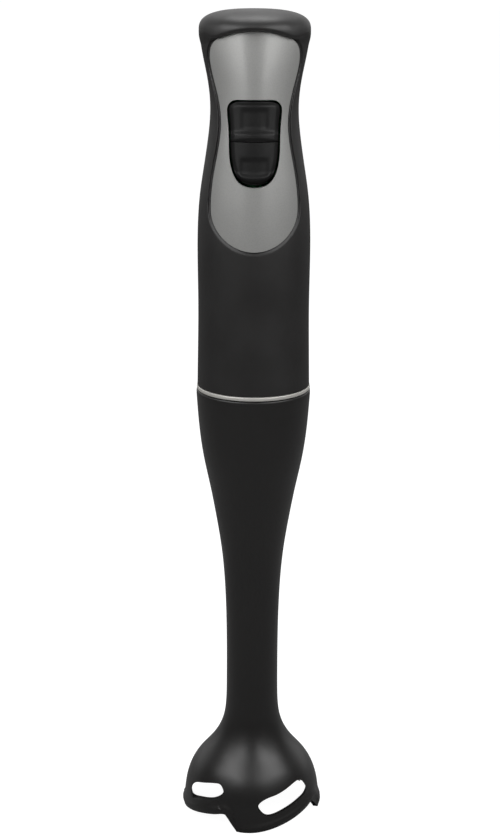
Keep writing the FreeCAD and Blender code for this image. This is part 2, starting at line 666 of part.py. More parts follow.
def cooling_fan():
    plate_top = d.fan_low + d.fan_plate
    top = d.fan_low + d.fan_height
    body = turned("cooling_fan", [
        (d.shaft_radius, d.fan_low),
        (d.fan_radius, d.fan_low),
        (d.fan_radius, plate_top),
        (d.fan_boss, plate_top),
        (d.fan_boss, top),
        (d.shaft_radius, top),
    ])
    vane = new_sketch(body, "vane_outline", "XY_Plane", d.fan_low + d.past)
    tip = d.fan_radius - d.vane_inset
    trace(vane, [(d.vane_root, d.vane_root_low), (tip, -d.vane_tip_low), (tip, -d.vane_tip_high),
                 (d.vane_root, d.vane_root_high)])
    vanes = padded(body, "vane", vane, d.fan_height - d.past)
    repeated(body, "vanes", [vanes], d.fan_blades)


def drive_dog():
    """The driver on the motor's shaft: a flat tang that drops between the coupling's dogs."""
    body = turned("drive_dog", [
        (0, d.hub_low - d.root),
        (d.hub_outer, d.hub_low - d.root),
        (d.hub_outer, d.can_low - d.hub_gap),
        (d.shaft_radius, d.can_low - d.hub_gap),
        (d.shaft_radius, d.motor_shaft_low),
        (0, d.motor_shaft_low),
    ])
    tang = new_sketch(body, "tang_outline", "XY_Plane", d.tang_low)
    trace(tang, slab(-d.tang_half, d.tang_half, -d.tang_thick / 2, d.tang_thick / 2))
    padded(body, "tang", tang, d.hub_low - d.tang_low)


def brushes():
    holders, blocks, springs = [], [], []
    half = d.holder_size / 2
    hollow_size = d.holder_size - d.holder_wall * 2
    play = (d.holder_size - d.brush_size) / 2
    for side, name in ((1, "right"), (-1, "left")):
        start = d.holder_start if side > 0 else -(d.holder_start + d.holder_length)
        shell = block(f"holder_{name}", (start, -half, d.holder_low),
                      (d.holder_length, d.holder_size, d.holder_size))
        hollow = block(f"holder_{name}_hollow",
                       (start - d.past, -hollow_size / 2, d.holder_low + d.holder_wall),
                       (d.holder_length + d.past * 2, hollow_size, hollow_size))
        holders.append(cut(f"brush_holder_{name}", shell, hollow))
        carbon = d.brush_start if side > 0 else -(d.brush_start + d.brush_length)
        blocks.append(block(f"brush_{name}", (carbon, -d.brush_size / 2, d.holder_low + play),
                            (d.brush_length, d.brush_size, d.brush_size)))
        coil = coil_spring(d.brush_spring_radius, d.brush_spring_wire, d.brush_spring_length,
                           BRUSH_SPRING_TURNS)
        coil.rotate(V(), V(0, 1, 0), 90 * side)
        seat = d.brush_start + d.brush_length + d.brush_spring_gap
        coil.translate(V(seat * side, 0, d.holder_low + half))
        springs.append(shaped(f"brush_spring_{name}", coil))
    grouped("brush_holders", holders)
    grouped("carbon_brushes", blocks)
    grouped("brush_springs", springs)


# ---------------------------------------------------------------- electronics

def coil_spring(radius, wire, length, turns):
    """A spring standing on Z=0, lofted straight between sections of its wire."""
    steps = SPRING_SECTIONS * turns
    rise = (length - 2 * wire) / steps
    sections = []
    for step in range(steps + 1):
        turn = 2 * math.pi * step / SPRING_SECTIONS
        outward = V(math.cos(turn), math.sin(turn), 0)
        centre = outward * (radius - wire) + V(0, 0, wire + rise * step)
        corners = [centre + (outward * math.cos(corner) + V(0, 0, 1) * math.sin(corner)) * wire
                   for corner in (2 * math.pi * side / WIRE_SIDES for side in range(WIRE_SIDES))]
        sections.append(Part.makePolygon(corners + corners[:1]))
    return Part.makeLoft(sections, True, True)


def circuit():
    height = d.board_top - d.board_low
    block("circuit_board", (-d.board_half, d.board_front, d.board_low),
          (d.board_half * 2, d.board_thick, height))
    back = d.board_front + d.board_thick + d.fit_gap
    frame = block("carrier_plate", (-(d.board_half + d.carrier_rim), back, d.board_low + d.carrier_low),
                  ((d.board_half + d.carrier_rim) * 2, d.carrier_thick, height - d.carrier_low))
    window = block("carrier_window",
                   (-d.carrier_window, back - d.past, d.board_low + d.carrier_window_low),
                   (d.carrier_window * 2, d.carrier_thick + d.past * 2, height - d.carrier_bridge))
    cut("board_carrier", frame, window)
    block("suppression_capacitor", (-d.capacitor_half, back, d.board_low + d.capacitor_low),
          (d.capacitor_half * 2, d.capacitor_deep, d.capacitor_tall))
    block("bridge_rectifier", (-d.rectifier_half, back, d.rectifier_z),
          (d.rectifier_half * 2, d.rectifier_deep, d.rectifier_tall))
    coil = doc.addObject("Part::Torus", "choke_coil")
    coil.setExpression("Radius1", formula(d.choke_radius))
    coil.setExpression("Radius2", formula(d.choke_wire))
    coil.Placement = FreeCAD.Placement(V(), FreeCAD.Rotation(V(1, 0, 0), 90))
    coil.setExpression("Placement.Base.y", formula(back + d.choke_wire + d.seam_gap))
    coil.setExpression("Placement.Base.z", formula(d.choke_z))
    motor_leads()


def motor_leads():
    """Two leads from the board's lower edge down to the brush holders."""
    leads = []
    for side in (-1, 1):
        route = Part.BSplineCurve()
        route.interpolate([V(side * x, y, z) for x, y, z in LEAD_ROUTE])
        start, way = route.getD1(0)
        ring = Part.Wire(Part.makeCircle(d.lead_radius, start, way))
        leads.append(Part.Wire(route.toShape()).makePipeShell([ring], True, True))
    shaped("motor_leads", Part.makeCompound(leads))


def press_switch(name, height):
    """A snap switch on the board, with the hole its plunger runs in and its button's spring."""
    case = block(f"{name}_case", (-d.switch_half, d.switch_front, height - d.switch_size / 2),
                 (d.switch_half * 2, d.board_front - d.switch_front - d.fit_gap, d.switch_size))
    hole = rod(f"{name}_hole", d.plunger_hole, d.plunger_hole_depth,
               (0, d.switch_front - d.past, height), "y")
    cut(f"{name}_switch", case, hole)
    rod(f"{name}_plunger", d.plunger, d.plunger_length, (0, d.post_end, height), "y")
    coil = coil_spring(d.spring_radius, d.spring_wire, d.switch_front - d.spring_seat - d.seam_gap,
                       SPRING_TURNS)
    coil.rotate(V(), V(1, 0, 0), -90)
    coil.translate(V(0, d.spring_seat + d.fit_gap, height))
    shaped(f"{name}_button_spring", coil)


# ---------------------------------------------------------------- handle shells and buttons

def section(height, half_width, front, back):
    """A closed section: half an ellipse forwards, half an ellipse backwards."""
    halves = []
    for depth, way in ((front, -1), (back, 1)):
        points = [V(half_width * math.cos(turn), way * depth * math.sin(turn), height)
                  for turn in (0, math.pi / 2, math.pi)]
        if half_width >= depth:
            oval = Part.Ellipse(V(half_width, 0, height), V(0, depth, height), V(0, 0, height))
        else:
            oval = Part.Ellipse(V(0, depth, height), V(-half_width, 0, height), V(0, 0, height))
        ends = sorted(oval.parameter(points[i]) for i in (0, 2))
        middle = oval.parameter(points[1])
        if not ends[0] < middle < ends[1]:
            ends = [ends[1], ends[0] + 2 * math.pi]
        halves.append(Part.ArcOfEllipse(oval, ends[0], ends[1]).toShape())
    return Part.Wire(Part.sortEdges(halves)[0])


def handle_form(sides, front, low_extra=0.0, top_extra=0.0):
    """The handle's body below the crown, grown (or shrunk) at its sides and its front."""
    wires = []
    for index, (height, half_width, fore, aft) in enumerate(SECTIONS):
        if index == 0:
            height -= low_extra
        if index == len(SECTIONS) - 1:
            height += top_extra
        wires.append(section(height, half_width + sides, fore + front, aft + sides))
    return Part.makeLoft(wires, True)


def crown_form(inset):
    """The rounded cap: a superellipse turned about Z."""
    radius = d.crown_radius - inset
    rise = d.crown_top - d.crown_low - inset
    points = []
    for step in range(CROWN_STEPS + 1):
        turn = math.pi / 2 * step / CROWN_STEPS
        across = radius * math.cos(turn) ** (2 / d.crown_power)
        up = rise * math.sin(turn) ** (2 / d.crown_power)
        points.append(V(across, 0, d.crown_low + up))
    dome = Part.BSplineCurve()
    dome.interpolate(points)
    top = V(0, 0, points[-1].z)
    foot = V(0, 0, points[0].z)
    outline = Part.Wire([dome.toShape(), Part.makeLine(top, foot), Part.makeLine(foot, points[0])])
    return Part.Face(outline).revolve(V(), V(0, 0, 1), 360)


def half_space(way):
    """Everything in front of the parting plane (-1) or behind it (1)."""
    low_y = -FAR if way < 0 else 0
    return Part.makeBox(2 * FAR, FAR, ABOVE - BELOW, V(-FAR, low_y, BELOW))


def prism(outline, grow=0.0):
    """A bar along Y with a mirrored, smoothly curved outline, grown by a margin all round."""
    half_width = max(x for x, _ in outline)
    middle = (outline[0][1] + outline[-1][1]) / 2
    half_height = outline[-1][1] - middle
    sideways = 1 + grow / half_width
    upright = 1 + grow / half_height
    grown = [(x * sideways, middle + (z - middle) * upright) for x, z in outline]
    right = [V(x, -FAR, z) for x, z in grown]
    left = [V(-x, -FAR, z) for x, z in reversed(grown[1:-1])]
    curve = Part.BSplineCurve()
    curve.interpolate(right + left, PeriodicFlag=True)
    return Part.Face(Part.Wire(curve.toShape())).extrude(V(0, FAR + d.board_front, 0))


def rods(places, radius, low_y, high_y):
    return [Part.makeCylinder(radius, high_y - low_y, V(x, low_y, z), V(0, 1, 0)) for x, z in places]


def screw_places():
    return [(side * x, z) for side in (-1, 1)
            for x, z in ((d.screw_low_x, d.screw_low_z), (d.screw_high_x, d.screw_high_z))]


def handle_shells():
    """Front and rear shells with their screw posts, the panel, and the plugs over the screws."""
    outer = handle_form(0, 0).fuse(crown_form(0))
    inner = handle_form(-d.wall, -d.wall, low_extra=d.shell_overlap).fuse(crown_form(d.wall))
    hollow = outer.cut(inner)
    opening = prism(BUTTONS)
    places = screw_places()

    front = hollow.common(half_space(-1)).cut(opening)
    posts = [post.common(outer) for post in rods(places, d.front_post, -FAR, -d.fit_gap)]
    pilots = rods(places, d.screw_shank + d.seam_gap, d.screw_front - d.past, d.past)
    shaped("front_shell", front.multiFuse(posts).cut(Part.makeCompound(pilots)))

    rear = hollow.common(half_space(1))
    rear = rear.multiFuse([post.common(outer) for post in rods(places, d.rear_post, 0, FAR)])
    rear = rear.cut(Part.makeCompound(rods(places, d.screw_shank + d.seal_gap, -d.past, FAR)))
    rear = rear.cut(Part.makeCompound(rods(places, d.plug + d.seam_gap, d.screw_seat, FAR)))
    inlet = rods([(0, d.inlet_z)], d.inlet_body + d.seam_gap, d.inlet_inner - d.past, FAR)
    shaped("rear_shell", rear.cut(inlet[0]))

    plugs = [plug.common(outer) for plug in rods(places, d.plug, d.screw_seat + d.plug_depth, FAR)]
    shaped("screw_plugs", Part.makeCompound(plugs))

    raised = handle_form(d.panel_side, d.panel_depth)
    shaped("grey_panel", prism(PANEL).common(raised).cut(outer.fuse(opening)))


def buttons():
    """Two caps in one opening, each with a retaining flange, a spring boss and a post."""
    proud = handle_form(d.button_side, d.button_proud)
    dished = handle_form(d.button_side, d.button_proud - d.dish_depth)
    back = handle_form(-d.button_thick, -d.button_thick)
    face = prism(BUTTONS, -d.button_gap).common(proud).cut(back)
    behind = handle_form(-(d.wall + d.root), -(d.wall + d.root))
    flange = prism(BUTTONS, d.flange_reach).common(behind).cut(back)
    both = face.fuse(flange)
    spans = (("low", BELOW, d.button_split - d.split_gap, d.low_switch_z),
             ("high", d.button_split + d.split_gap, ABOVE, d.high_switch_z))
    for name, low, high, height in spans:
        cap = both.common(Part.makeBox(2 * FAR, FAR, high - low, V(-FAR, -FAR, low)))
        edge, dish_low, dish_high = DISHES[name]
        dish = Part.makeBox(2 * edge, FAR, dish_high - dish_low, V(-edge, -FAR, dish_low))
        cap = cap.cut(dish.cut(dished))
        boss = Part.makeCylinder(d.button_boss, d.button_boss_length,
                                 V(0, d.spring_seat - d.button_boss_length, height), V(0, 1, 0))
        post = Part.makeCylinder(d.post, d.post_end - d.spring_seat + d.past,
                                 V(0, d.spring_seat - d.past, height), V(0, 1, 0))
        shaped(f"{name}_button", cap.fuse(boss).fuse(post))


def inlet_and_clamp():
    """The cord inlet's rubber sleeve and the clamp behind it, on a level axis along Y."""
    flange_end = d.inlet_inner + d.sleeve_flange_thick
    sleeve = turned("cord_grommet", [
        (d.inlet_bore, d.inlet_inner),
        (d.inlet_body + d.sleeve_flange, d.inlet_inner),
        (d.inlet_body + d.sleeve_flange, flange_end),
        (d.inlet_body, flange_end),
        (d.inlet_body, d.inlet_outer - d.sleeve_taper),
        (d.inlet_body - d.sleeve_flange, d.inlet_outer),
        (d.inlet_bore, d.inlet_outer),
    ])
    sleeve.Placement = FreeCAD.Placement(V(), FreeCAD.Rotation(V(1, 0, 0), -90))
    sleeve.setExpression("Placement.Base.z", formula(d.inlet_z))
    bar = block("clamp_bar", (-d.clamp_half, d.clamp_front, d.inlet_z - d.clamp_half_height),
                (d.clamp_half * 2, d.clamp_thick, d.clamp_half_height * 2))
    start = d.clamp_front - d.past
    depth = d.clamp_thick + d.past * 2
    passage = rod("clamp_passage", d.inlet_bore + d.clamp_play, depth, (0, start, d.inlet_z), "y")
    holes, screws = [], []
    for side, name in ((-1, "left"), (1, "right")):
        x = d.clamp_screw_x * side
        holes.append(rod(f"clamp_hole_{name}", d.clamp_hole, depth, (x, start, d.inlet_z), "y"))
        head = rod(f"clamp_head_{name}", d.clamp_head, d.clamp_head_length,
                   (x, d.clamp_front - d.clamp_head_length - d.fit_gap, d.inlet_z), "y")
        shank = rod(f"clamp_shank_{name}", d.clamp_shank, d.clamp_shank_length,
                    (x, d.clamp_front - d.root, d.inlet_z), "y")
        screws.append(fused(f"clamp_screw_{name}", [head, shank]))
    cut("cord_clamp", bar, fused("clamp_openings", [passage] + holes))
    grouped("clamp_screws", screws)


def housing_screws():
    screws = []
    for index, (x, z) in enumerate(screw_places()):
        shank = rod(f"shank_{index}", d.screw_shank, d.screw_seat - d.screw_front + d.past,
                    (x, d.screw_front, z), "y")
        head = rod(f"head_{index}", d.screw_head, d.screw_head_length,
                   (x, d.screw_seat + d.fit_gap, z), "y")
        screws.append(fused(f"screw_{index}", [shank, head]))
    grouped("housing_screws", screws)


# ---------------------------------------------------------------- build and export

NODES = [
    "front_shell", "rear_shell", "grey_panel", "wand_socket", "socket_seal", "motor_can",
    "motor_end_plate", "motor_magnets", "lower_motor_bearing", "upper_motor_bearing",
    "motor_mount_lower", "motor_mount_upper", "brush_holders", "carbon_brushes", "brush_springs",
    "motor_leads", "circuit_board", "board_carrier", "suppression_capacitor", "choke_coil",
    "bridge_rectifier", "low_switch", "high_switch", "low_button_spring", "high_button_spring",
    "housing_screws", "screw_plugs", "cord_grommet", "cord_clamp", "clamp_screws",
    "trim_ring", "key_ring",
    "wand_housing", "bayonet_collar", "bearing_plate", "upper_bush", "bearing_tube", "lower_bush",
    "shaft_seal",
    "motor_shaft", "rotor_core", "rotor_windings", "commutator", "cooling_fan", "drive_dog",
    "drive_shaft", "driven_coupling", "shaft_clip", "thrust_washer", "blade_hub", "blade", "blade_nut",
    "low_button", "low_plunger", "high_button", "high_plunger",
]


def export_nodes():
    os.makedirs("parts", exist_ok=True)
    for item in doc.Objects:
        assert not {"Invalid", "Error"} & set(item.State), f"{item.Label}: {item.State}"
    for name in NODES:
        item = doc.getObjectsByLabel(name)[0]
        assert not item.Shape.isNull() and item.Shape.isValid(), f"{name} is not a valid shape"
        item.Shape.exportStep(f"parts/{name}.step")


wand_housing()
wand_bearings()
bayonet_collar()
lock_ring()
wand_socket()
drive_line()
blade()
motor_case()
rotor()
brushes()
circuit()
press_switch("low", d.low_switch_z)
press_switch("high", d.high_switch_z)
handle_shells()
buttons()
inlet_and_clamp()
housing_screws()
doc.recompute()
export_nodes()
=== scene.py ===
import json
import math

import bmesh
import bpy
import numpy as np
from mathutils import Matrix, Vector
from mathutils.bvhtree import BVHTree


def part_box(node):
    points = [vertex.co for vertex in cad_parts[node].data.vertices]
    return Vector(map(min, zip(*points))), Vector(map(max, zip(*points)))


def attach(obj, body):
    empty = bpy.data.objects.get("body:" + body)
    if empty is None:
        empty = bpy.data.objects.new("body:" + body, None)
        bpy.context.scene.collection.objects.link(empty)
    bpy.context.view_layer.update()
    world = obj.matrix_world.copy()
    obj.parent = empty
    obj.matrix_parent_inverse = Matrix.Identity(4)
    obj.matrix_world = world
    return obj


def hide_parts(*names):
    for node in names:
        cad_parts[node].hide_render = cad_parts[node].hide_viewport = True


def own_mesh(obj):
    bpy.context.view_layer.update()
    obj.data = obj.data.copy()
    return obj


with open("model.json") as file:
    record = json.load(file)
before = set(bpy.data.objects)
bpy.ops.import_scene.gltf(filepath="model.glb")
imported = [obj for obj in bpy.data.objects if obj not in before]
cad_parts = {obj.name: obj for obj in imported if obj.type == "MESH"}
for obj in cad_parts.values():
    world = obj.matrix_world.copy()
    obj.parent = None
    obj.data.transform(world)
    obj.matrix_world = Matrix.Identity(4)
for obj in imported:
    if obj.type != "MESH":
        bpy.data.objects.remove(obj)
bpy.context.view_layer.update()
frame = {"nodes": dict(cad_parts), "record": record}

MM = 0.001

# Wand: height and outer radius of the guard, shaft and shoulder, and the cavity under the guard.
GUARD_WALL = [(0, 31.9), (6, 31.5), (12, 30.7), (18, 28.95), (24, 25.6), (30, 20.6), (36, 16.4),
              (44, 13.15), (52, 12.05), (62, 11.8), (84, 11.8), (107, 12.4), (128, 14.15),
              (143, 16.5), (157, 19.1), (171, 22.0), (185, 23.95), (200.6, 25.15)]
CAVITY_WALL = [(0, 29.7), (6, 29.4), (12, 28.5), (19.4, 25.9), (25, 22.0), (29.8, 16.5)]
CAVITY_ROWS = 6
WAND_TOP = 202.7
SHAFT_SPANS = [(60, 34), (200.6, 80)]

# Wand: radius and height of the rounded shoulder, the spigot and the bore.
SHOULDER = [(25.14, 201.9), (25.08, 202.25), (24.95, 202.5), (24.7, 202.65), (24.3, WAND_TOP)]
SPIGOT_SEAT = 22.4
SPIGOT_EDGE = 0.3
SPIGOT_LOW = 196.0
BORE = [(19.6, 171.4), (14.1, 143.0), (9.4, 80.0), (9.4, 46.0), (6.0, 46.0), (6.0, 31.0),
        (9.5, 31.0), (13.0, 30.7)]

# The guard is four segments, each a ring of faces between its window and its border.
SEGMENTS = 4
SEGMENT = 90.0
SEGMENT_FIRST = -12.0
PATCH_TOP = 26.0
PATCH_EDGE = 0.01
BORDER_LOW, BORDER_SIDE, BORDER_HIGH = 56, 14, 44
GUARD_RINGS = 14
RIM_RADIUS = 31
RIM_SAMPLES = 900
BEAD = 0.85
BEAD_ABOVE = 2.4
BEAD_HEIGHT = 1.5
CUT_LIMIT = 0.995
CUT_SHARE = 0.6

# One guard segment: degrees along it, and height. The rim rises along it, then drops away.
RIM = [(0, 0.3), (2.9, 0.1), (8, 0), (13, 0.05), (18, 0.3), (28, 1.2), (38.7, 2.5), (50.9, 4.1),
       (62, 5.6), (71.6, 6.95), (76, 7.65), (78.5, 7.75), (81, 7.5), (83.3, 6.95), (85.4, 5.8),
       (87.2, 3.9), (88.3, 2.2), (89.2, 0.9), (90, 0.3)]

# The window of the first and third segments, then the window of the other two.
WINDOWS = [{"low": [(20.4, 9.3), (24.5, 7.75), (29.5, 7.7), (38, 8.8), (48, 10.2), (58, 11.5),
                    (64.5, 12.5)],
            "end": [(68.9, 15.2)],
            "high": [(66.4, 18.6), (60, 19.9), (54, 19.45), (44, 18.1), (32, 16.6), (22.5, 15.2)],
            "start": [(17.6, 12.4)]},
           {"low": [(38.6, 9.3), (43, 8.9), (52.5, 10.6), (60, 11.8), (66, 12.8), (70.8, 14.0)],
            "end": [(75.9, 17.2)],
            "high": [(73.5, 19.4), (66.5, 20.3), (59.4, 19.5), (52, 18.4), (44, 17.1),
                     (39.2, 15.7)],
            "start": [(36.2, 13.0)]}]

# Handle sections: height, half width, front depth, back depth.
SECTIONS = [(204.8, 24.7, 24.3, 24.6), (222, 24.4, 24.0, 24.4), (242, 24.2, 24.0, 24.0),
            (265, 24.4, 24.6, 23.8), (280, 24.0, 24.0, 23.4), (290, 23.1, 23.1, 23.0),
            (300, 21.6, 22.1, 22.6), (312, 19.8, 21.0, 22.2), (326, 18.75, 19.8, 21.8),
            (338, 20.0, 19.1, 22.1), (348, 22.0, 18.3, 22.9), (357.2, 23.5, 17.5, 23.4)]
HANDLE_LOW = 204.8
BODY_EASE = 0.8
FRONT_GRID = (181, 260)
REAR_GRID = (73, 90)
WALL = 2.2

# The crown, and its lip over the panel: a flat underside that curls up into the crown's side.
CROWN_LOW = 357.2
CROWN_RADIUS = 23.5
CROWN_RISE = 8.8
CROWN_POWER = 2.8
CROWN_ROWS = 26
LIP_HIGH = 357.95
LIP_ARC = 0.0125
LIP_ROUND = 1.6
LIP_SHARP_TO = 15.0
LIP_GONE_AT = 21.5
LIP_ROWS = 12
LIP_FLAT = 0.35
LIP_FLAT_OUT = 0.5
LIP_FLAT_UP = 0.04

# Right half of each front outline, from the bottom to the top.
PANEL = [(0, 267.8), (9.8, 270.5), (15.4, 275.6), (17.8, 280.8), (18.25, 287), (16.8, 300),
         (14.6, 312), (13.9, 322), (15.4, 332), (17.6, 340.5), (18.6, 347.6), (17.9, 351.6),
         (15.3, 354.5), (10.7, 356.4), (0, 357.75)]
OPENING = [(0, 294.4), (6.2, 296.2), (9.4, 301.4), (10.7, 314.8), (11.3, 324), (11.1, 327.6),
           (9.3, 329.7), (5.5, 330.3), (0, 330.35)]
OUTLINE_SAMPLES = 400

# The panel, and the step in the shell that it sits in.
PANEL_PROUD = 0.9
PANEL_SIDE = 0.4
PANEL_SUNK = 0.02
PANEL_LIP_GAP = 0.12
PANEL_POINTS = 200
PANEL_RINGS = 20
GROOVE_DEPTH = 1.3
GROOVE_WIDTH = 0.6
GROOVE_BLEND = 0.9
GROOVE_LOW = 262
GROOVE_END = (268, 288)
GROOVE_END_SHARE = 0.3
GROOVE_LIP_GAP = 0.05

# Holes in the shells, and how a hole's edge is found.
SHELL_HOLE_GAP = 1.4
SLEEVE_HOLE = 6.5
PLUG_HOLE = 3.1
PLUGS = [(15.5, 289.5), (13.0, 352.5)]
SNAP_TURNS = 6
NUDGE = 0.01
LEAST_SLOPE = 1e-6
RAY_START = 60.0

# Buttons: the cap's outline, its side, and the stem behind it as radius and depth.
BUTTON_PROUD = 0.5
BUTTON_SIDE = 0.6
BUTTON_GAP = 0.9
BUTTON_HALF = 11.2
BUTTON_ENDS = 10
BUTTON_MIDDLE = 312
BUTTON_SPLIT = 313.15
BUTTON_CORNER = {"low": 297.6, "high": 328.6}
BUTTON_DEPTH = 3.9
BUTTON_SAMPLES = 1200
BUTTON_GRID = (44, 40)
SPLIT_GAP = 0.3
CAP_FALL = (-2.6, -0.9)
BOSS = [(0.01, 0), (3.4, 0), (3.4, 3.1), (1.6, 3.1), (1.6, 4.5), (0.01, 4.5)]
BOSS_START = -18.6
BOSS_ROUND = 0.2
BOSS_COLUMNS = 32

# Finger dishes: depth, then where each fades in from the sides, the bottom and the top.
DISHES = {"low": (0.4, (6.8, 4.4), (298.8, 301.2), (307.4, 304.8)),
          "high": (0.45, (6.6, 4.2), (317.2, 319.4), (327.6, 325.0))}

# The upper cap's raised bar, and the lower cap's lip with the fall below it.
BAR_LOW = 313.3
BAR_ARCH = 0.9
BAR_HALF = 9.0
BAR_SOFT = 0.7
BAR_TOP = (317.9, 316.0)
BAR_RISE = 0.75
TOE_LOW = 298.0
TOE_ARC = 0.03
TOE_RISE = 0.4
TOE_SOFT = (-1.2, 0.4, 1.8)
TOE_DROP = 1.2
TOE_REACH = 2.4

SPRING_HEIGHTS = {"low": 303.0, "high": 322.0}
SPRING_RADIUS = 2.45
SPRING_WIRE = 0.25
SPRING_TURNS = 3.5
SPRING_EASE = (-0.12, 1.12)

TRIM_INNER, TRIM_OUTER = 21.45, 24.9
TRIM_RISE = 0.1
TRIM_SWELL = 0.12
TRIM_ROUND = 0.25
TRIM_COLUMNS = 160

# The cord's sleeve: its bore, its flange, and its ribs as radius and distance from the mouth.
SLEEVE_BORE = 3.4
SLEEVE_FLANGE = 8.0
SLEEVE_FLANGE_DEPTH = 2
SLEEVE_NECK = 6.4
SLEEVE_RIBS = [(SLEEVE_NECK, 4.2), (5.9, 3.6), (6.2, 3.0), (5.5, 2.4), (5.8, 1.8), (5.0, 1.2),
               (5.2, 0.7), (4.6, 0)]
SLEEVE_ROUND = 0.3
SLEEVE_COLUMNS = 64

# How closely points are merged, and how edges and corners are rounded.
WELD_DECIMALS = 3
MERGE_WITHIN = 0.002
DISSOLVE_UNDER = 0.0005
BEVEL_SEGMENTS = 3
CORNER_SHARE = 0.45

# Stage, lights and camera, in metres. A light: degrees round from the front, degrees up,
# distance, width, height, power, and the height that it points at.
FLOOR_REACH = 40.0
FLOOR_TONE = (0.2, 0.2, 0.2, 1)
FLOOR_GLOW = 0.97
ROOM_SPAN = (0.25, 0.6)
ROOM_LEVELS = (0.1, 1.1)
LIGHTS = {"left_softbox": (-50, 21, 0.5, 0.58, 0.25, 2.6, 0.34),
          "right_softbox": (50, 21, 0.5, 0.58, 0.25, 2.6, 0.34),
          "top_softbox": (180, 75, 1.2, 0.9, 0.7, 14.0, 0.36)}
CAMERA_PLACE = (-0.0014, -0.7297, 0.3979)
CAMERA_DOWN = 16.07
CAMERA_ROLL = 0.22
CAMERA_SENSOR = 36.0
CAMERA_LENS = 73.07
CAMERA_CLIP = (0.02, 200.0)

# Finishes. A texture is its kind and its values, with the scale first. "rough" goes from one
# roughness to another along its texture, "tint" to another colour, each with the texture's own
# span where it isn't the usual one, and "bump" gives a depth in millimetres and a strength.
FINISHES = {
    "grey_panel": {"colour": (0.26, 0.26, 0.254), "roughness": 0.31, "metallic": 0.3,
                   "rough": (("noise", 70, 3), 0.29, 0.33),
                   "tint": (("cells", 1500), (0.285, 0.285, 0.278), 0.0, 0.6),
                   "bump": (("noise", 3200, 2), 0.008, 0.5)},
    "chrome": {"colour": (0.56, 0.55, 0.52), "roughness": 0.36, "metallic": 0.4,
               "rough": (("noise", 140, 3), 0.33, 0.39),
               "tint": (("noise", 60, 2), (0.52, 0.51, 0.48)),
               "bump": (("noise", 500, 2), 0.004, 0.3)},
    "steel": {"colour": (0.62, 0.62, 0.61), "roughness": 0.24, "metallic": 1.0,
              "rough": (("noise", 1, 4, (260, 260, 5200)), 0.168, 0.336),
              "tint": (("noise", 90, 3), (0.5084, 0.5084, 0.5002)),
              "bump": (("noise", 1, 4, (260, 260, 5200)), 0.004, 0.5)},
    "zinc_plate": {"colour": (0.5, 0.51, 0.52), "roughness": 0.36, "metallic": 1.0,
                   "rough": (("cells", 420), 0.28, 0.46, 0, 0.6),
                   "tint": (("cells", 300), (0.38, 0.39, 0.41), 0, 0.7),
                   "bump": (("noise", 900, 3), 0.006, 0.4)},
    "bronze": {"colour": (0.5, 0.31, 0.15), "roughness": 0.42, "metallic": 1.0,
               "rough": (("noise", 800, 3), 0.34, 0.55),
               "tint": (("noise", 1500, 4), (0.33, 0.19, 0.09)),
               "bump": (("noise", 2600, 4), 0.02, 0.6)},
    "copper": {"colour": (0.68, 0.27, 0.12), "roughness": 0.3, "metallic": 1.0,
               "sockets": {"Coat Weight": 0.6},
               "rough": (("noise", 300, 2), 0.22, 0.38),
               "tint": (("waves", 620, 1.5), (0.4, 0.13, 0.05)),
               "bump": (("waves", 620, 1.5), 0.12, 0.7)},
    "rubber": {"colour": (0.017, 0.017, 0.018), "roughness": 0.62,
               "rough": (("noise", 120, 3), 0.54, 0.7),
               "tint": (("noise", 40, 2), (0.028, 0.028, 0.028)),
               "bump": (("noise", 1500, 3), 0.02, 0.5)},
    "seal": {"colour": (0.36, 0.07, 0.04), "roughness": 0.46,
             "sockets": {"Subsurface Weight": 0.08},
             "rough": (("noise", 160, 2), 0.4, 0.54),
             "tint": (("noise", 70, 2), (0.28, 0.05, 0.03)),
             "bump": (("noise", 1200, 2), 0.012, 0.4)},
    "board": {"colour": (0.02, 0.13, 0.05), "roughness": 0.3, "sockets": {"Coat Weight": 0.3},
              "rough": (("noise", 200, 2), 0.24, 0.4),
              "tint": (("cells", 330, (1, 1, 0.35)), (0.035, 0.2, 0.08), 0.2, 0.3),
              "bump": (("cells", 330, (1, 1, 0.35)), 0.03, 0.5)},
    "component": {"colour": (0.62, 0.44, 0.05), "roughness": 0.32,
                  "rough": (("noise", 260, 2), 0.26, 0.4),
                  "tint": (("noise", 90, 2), (0.5, 0.34, 0.04)),
                  "bump": (("noise", 1400, 2), 0.01, 0.4)},
    "ferrite": {"colour": (0.07, 0.07, 0.075), "roughness": 0.5, "metallic": 0.3,
                "rough": (("noise", 900, 3), 0.4, 0.62),
                "tint": (("waves", 900), (0.12, 0.12, 0.125), 0.4, 0.6),
                "bump": (("waves", 900), 0.03, 0.5)},
    "carbon": {"colour": (0.035, 0.035, 0.037), "roughness": 0.55, "metallic": 0.2,
               "rough": (("noise", 1600, 3), 0.45, 0.65),
               "tint": (("noise", 2500, 3), (0.06, 0.06, 0.06)),
               "bump": (("noise", 2500, 3), 0.02, 0.5)},
    "lead": {"colour": (0.33, 0.03, 0.025), "roughness": 0.4,
             "rough": (("noise", 300, 2), 0.34, 0.5),
             "tint": (("noise", 120, 2), (0.25, 0.02, 0.02)),
             "bump": (("noise", 900, 2), 0.015, 0.4)},
}

